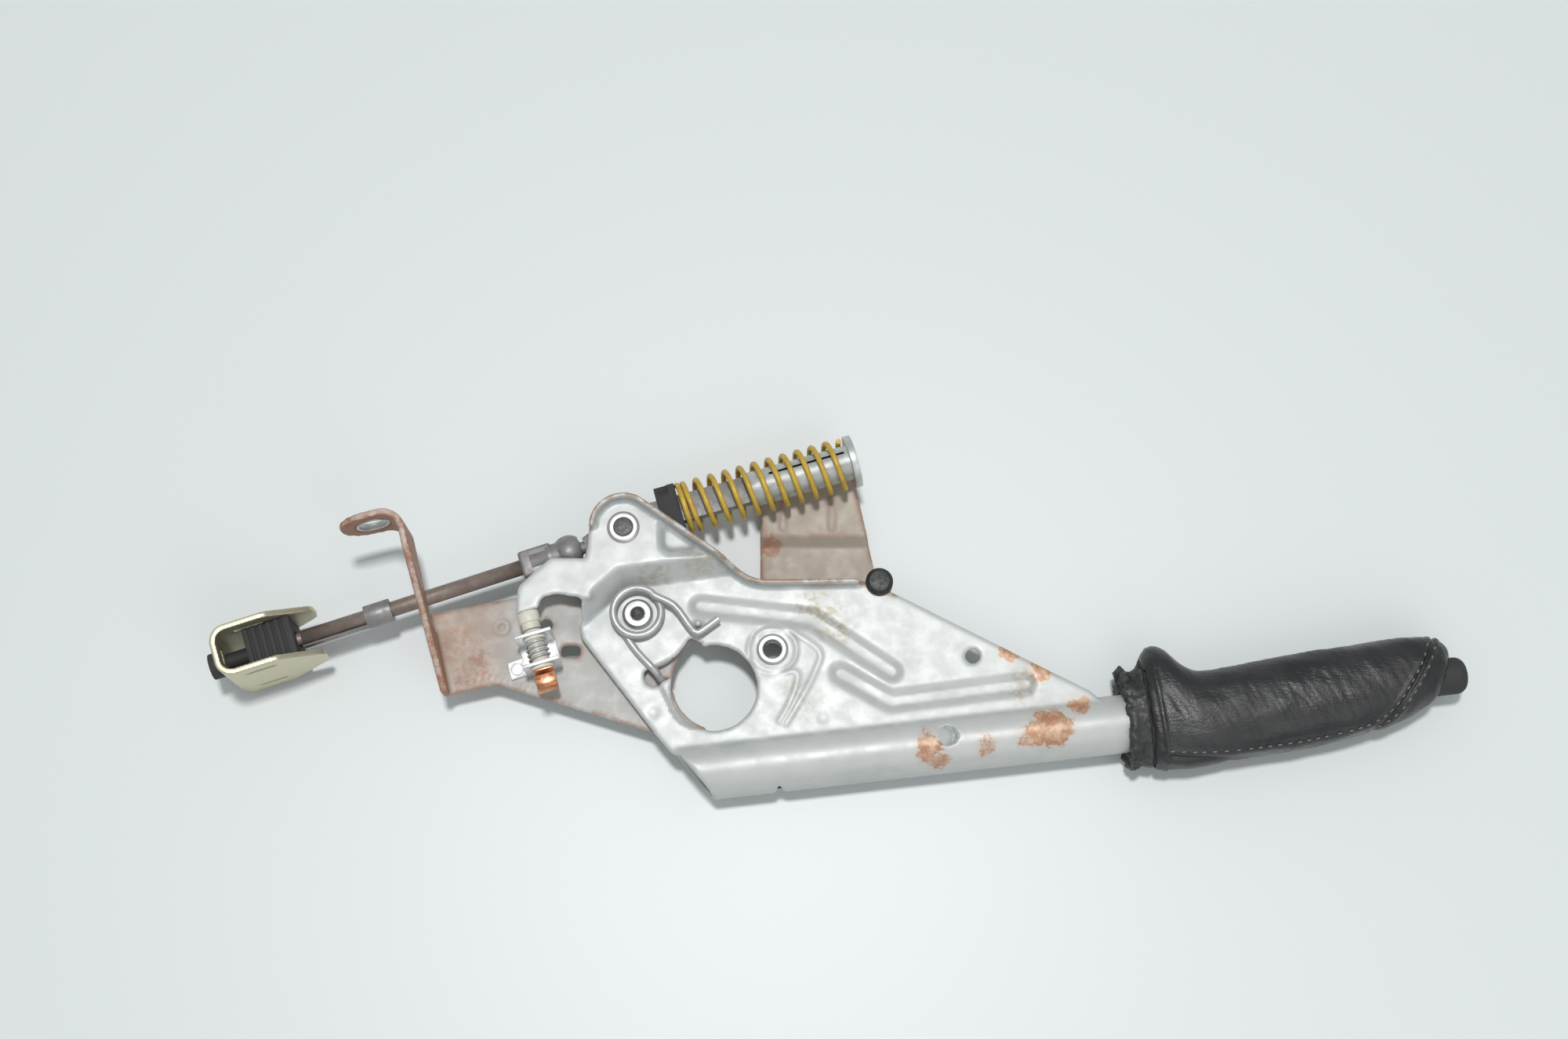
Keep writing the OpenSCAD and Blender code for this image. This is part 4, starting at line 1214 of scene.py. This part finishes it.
@dataclass
class SmallParts:
    """Turned, riveted and moulded pieces that keep their CAD shape, with the width of their rounded edges."""

    edges: dict[Look, dict[str, float]] = field(default_factory=lambda: {
        Look.STEEL: {"ear_bush": 0.25, "sector_rivets": 0.15, "pivot_rivet": 0.25, "pivot_spacer": 0.2,
            "pawl_rivet": 0.25, "pin_retainer": 0.25, "push_rod": 0.2, "equalizer_pin": 0.1},
        Look.DARK_STEEL: {"ratchet_sector": 0.1, "pawl": 0.15, "adjuster_bar": 0.5, "ball_stud": 0.1,
            "rod_socket": 0.3, "rod_clip": 0.25},
        Look.BLACK_PLASTIC: {"rod_guide": 0.3, "grip_core": 0.05, "release_button": 0.3, "spring_collar": 0.3,
            "cable_insert": 0.35, "cable_plug": 0.5},
        Look.BRIGHT_ZINC: {"switch_bracket": 0.25, "switch_rivet": 0.2},
        Look.NYLON: {"switch_body": 0.2, "switch_plunger": 0.35},
        Look.COPPER: {"contact_strap": 0.2},
        Look.RUBBER: {"bump_stop": 0.6},
        Look.OILED_STEEL: {"clevis_pin": 0.35},
        Look.SLEEVE: {"tension_sleeve": 0.2},
        Look.OXIDE: {"pull_rod": 0.2},
    })

    def build(self) -> None:
        """Round and dress each piece."""
        for look, widths in self.edges.items():
            for node, width in widths.items():
                dress(softened(node, width), look, node)


@dataclass
class Equalizer:
    """Bent yoke at the end of the pull rod."""

    voxel: float = 0.5
    passes: int = 5

    def build(self) -> None:
        """Make and dress the yoke."""
        piece = skinned("equalizer_yoke", "equalizer_yoke_sheet", self.voxel, self.passes)
        Skin(piece).mark_bends(6, 0.25)
        dress(piece, Look.YELLOW_ZINC, "equalizer_yoke")


@dataclass
class PullRod:
    """Shaft of the pull rod and the crimped block round the neck of its ball socket."""

    near: float = 6.0
    far: float = 19.0
    width: float = 10.6
    height: float = 8.8
    edge: float = 1.2
    shaft_r: float = 2.95
    shaft_end: float = 105.5

    def place(self, start: float, end: float) -> Matrix:
        """Frame at the middle of a stretch of the rod, with X along it.

        Args:
            start: distance of its first end from the ball, in millimetres.
            end: distance of its last end.

        Returns:
            The frame.
        """
        ball = Vector(joint("rod_swing")["pos_m"])
        along = (Vector(joint("equalizer_tilt")["pos_m"]) - ball).normalized()
        turn = Matrix((along, UP.cross(along), UP)).transposed().to_4x4()
        return Matrix.Translation(ball + along * ((start + end) / 2 * MM)) @ turn

    def shaft(self) -> None:
        """Make and dress the shaft at its full thickness."""
        shape = bmesh.new()
        lying = self.place(self.far, self.shaft_end) @ Matrix.Rotation(math.pi / 2, 4, "Y")
        bmesh.ops.create_cone(shape, cap_ends=True, segments=40, radius1=self.shaft_r * MM,
            radius2=self.shaft_r * MM, depth=(self.shaft_end - self.far) * MM, matrix=lying)
        bmesh.ops.recalc_face_normals(shape, faces=shape.faces)
        for face in shape.faces:
            face.smooth = len(face.verts) == 4
        dress(solid("rod_shaft", shape), Look.OXIDE, body="rod")

    def block(self) -> None:
        """Make and dress the block."""
        size = Matrix.Diagonal(((self.far - self.near) * MM, self.width * MM, self.height * MM, 1.0))
        shape = bmesh.new()
        bmesh.ops.create_cube(shape, size=1.0, matrix=self.place(self.near, self.far) @ size)
        bmesh.ops.bevel(shape, geom=shape.edges[:], offset=self.edge * MM, offset_type="OFFSET",
            affect="EDGES", segments=3, profile=0.5, material=-1, clamp_overlap=True)
        bmesh.ops.recalc_face_normals(shape, faces=shape.faces)
        piece = solid("socket_block", shape)
        piece.data.set_sharp_from_angle(angle=math.radians(40))
        dress(piece, Look.DARK_STEEL, body="rod")

    def build(self) -> None:
        """Make both pieces."""
        self.shaft()
        self.block()


@dataclass
class Springs:
    """Tension spring on the adjuster and the small springs of the switch and the button."""

    bar_at: tuple[float, float, float] = (-6.4, 35.0, 21.0)
    start: float = 23.0
    length: float = 67.0
    radius: float = 10.4
    wire: float = 1.05
    closed: float = 1.2
    turns: float = 12.0
    travel: float = 10.0
    switch_at: tuple[float, float, float] = (-41.0, -1.0, 29.0)
    switch_start: float = 11.7
    switch_size: tuple[float, float] = (3.9, 0.5)
    switch_turns: tuple[float, float] = (4.0, 7.5)
    button_at: tuple[float, float, float] = (157.0, 3.0, 3.0)
    button_size: tuple[float, float] = (3.6, 0.6)
    button_turns: float = 7.0
    button_length: float = 30.0
    button_travel: float = 4.0

    def tension(self) -> None:
        """Wind the yellow spring, with its first turns closed."""
        first = from_pivot(*self.bar_at) + BAR_DIR * ((self.start + self.wire) * MM)
        tight = self.closed * self.wire * 2.1
        spans = ((self.closed, tight), (self.turns - self.closed, self.length - 2 * self.wire - tight))
        radius = self.radius - self.wire
        coil = Coil("tension_coil", "tension_spring", first, BAR_DIR, radius, self.wire, spans)
        piece = coil.build(Look.YELLOW_PAINT)
        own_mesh(piece)

    def switch(self) -> None:
        """Wind the spring on the switch's body."""
        first = from_pivot(*self.switch_at) + SWITCH_DIR * (self.switch_start * MM)
        spans = (self.switch_turns,)
        coil = Coil("switch_coil", "switch_spring", first, SWITCH_DIR, *self.switch_size, spans, 8, 24)
        coil.build(Look.WIRE)

    def button(self) -> None:
        """Wind the button's spring on the push rod."""
        seat = on_handle(*self.button_at)
        spans = ((self.button_turns, self.button_length),)
        coil = Coil("button_coil", "button_spring", seat, HANDLE_DIR, *self.button_size, spans, 8, 24)
        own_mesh(coil.build(Look.WIRE))

    def build(self) -> None:
        """Wind and dress the springs."""
        self.tension()
        self.switch()
        self.button()


@dataclass
class Studio:
    """Floor, light and camera."""

    look_at: tuple[float, float, float] = (55.35, 37.2, 22.0)
    distance: float = 870.0
    lens: float = 52.2
    floor_tone: Colour = (0.72, 0.755, 0.755)
    floor_size: float = 6.0
    floor_rough: float = 0.42
    lamps: tuple = (("key", (-0.06, 0.22, 2.4), 0.22, 30.0), ("fill", (0.5, -0.8, 0.9), 0.9, 2.5))
    air_tone: Colour = (0.86, 0.90, 0.92)
    air_strength: float = 0.46

    def floor(self) -> None:
        """Lay a pale floor under the part."""
        shape = bmesh.new()
        bmesh.ops.create_grid(shape, x_segments=2, y_segments=2, size=self.floor_size / 2)
        floor = solid("floor", shape)
        paint = Paint("pale_floor")
        paint.give(paint.shader.inputs["Base Color"], self.floor_tone)
        paint.give(paint.shader.inputs["Roughness"], self.floor_rough)
        floor.data.materials.append(paint.material)

    def lamp(self, name: str, place: Sequence[float], size: float, power: float) -> None:
        """Hang a square lamp that faces the part.

        Args:
            name: the lamp's name.
            place: where it hangs, in metres.
            size: its side, in metres.
            power: its power, in watts.
        """
        light = bpy.data.lights.new(name, "AREA")
        light.energy = power
        light.size = size
        lamp = bpy.data.objects.new(name, light)
        bpy.context.scene.collection.objects.link(lamp)
        lamp.location = place
        lamp.rotation_euler = (-Vector(place)).to_track_quat("-Z", "Y").to_euler()

    def camera(self) -> None:
        """Set the camera at the photograph's angle."""
        data = bpy.data.cameras.new("camera")
        data.lens = self.lens
        data.sensor_width = 36.0
        camera = bpy.data.objects.new("camera", data)
        bpy.context.scene.collection.objects.link(camera)
        camera.location = from_pivot(*self.look_at) - SIGHT * (self.distance * MM)
        camera.rotation_euler = SIGHT.to_track_quat("-Z", "Y").to_euler()
        bpy.context.scene.camera = camera

    def build(self) -> None:
        """Make the stage."""
        self.floor()
        for lamp in self.lamps:
            self.lamp(*lamp)
        world = bpy.data.worlds.new("studio")
        world.use_nodes = True
        air = world.node_tree.nodes["Background"]
        air.inputs["Color"].default_value = (*self.air_tone, 1.0)
        air.inputs["Strength"].default_value = self.air_strength
        bpy.context.scene.world = world
        bpy.context.scene.view_settings.view_transform = "Standard"
        self.camera()


def main() -> None:
    """Build the part's looks and its stage."""
    logging.basicConfig(level=logging.INFO, format="%(name)s %(message)s")
    Studio().build()
    LeverPlate().build()
    Bracket().build()
    Grip().build()
    Springs().build()
    ReturnSpring().build()
    Equalizer().build()
    PullRod().build()
    SmallParts().build()


if __name__ == "__main__":
    main()
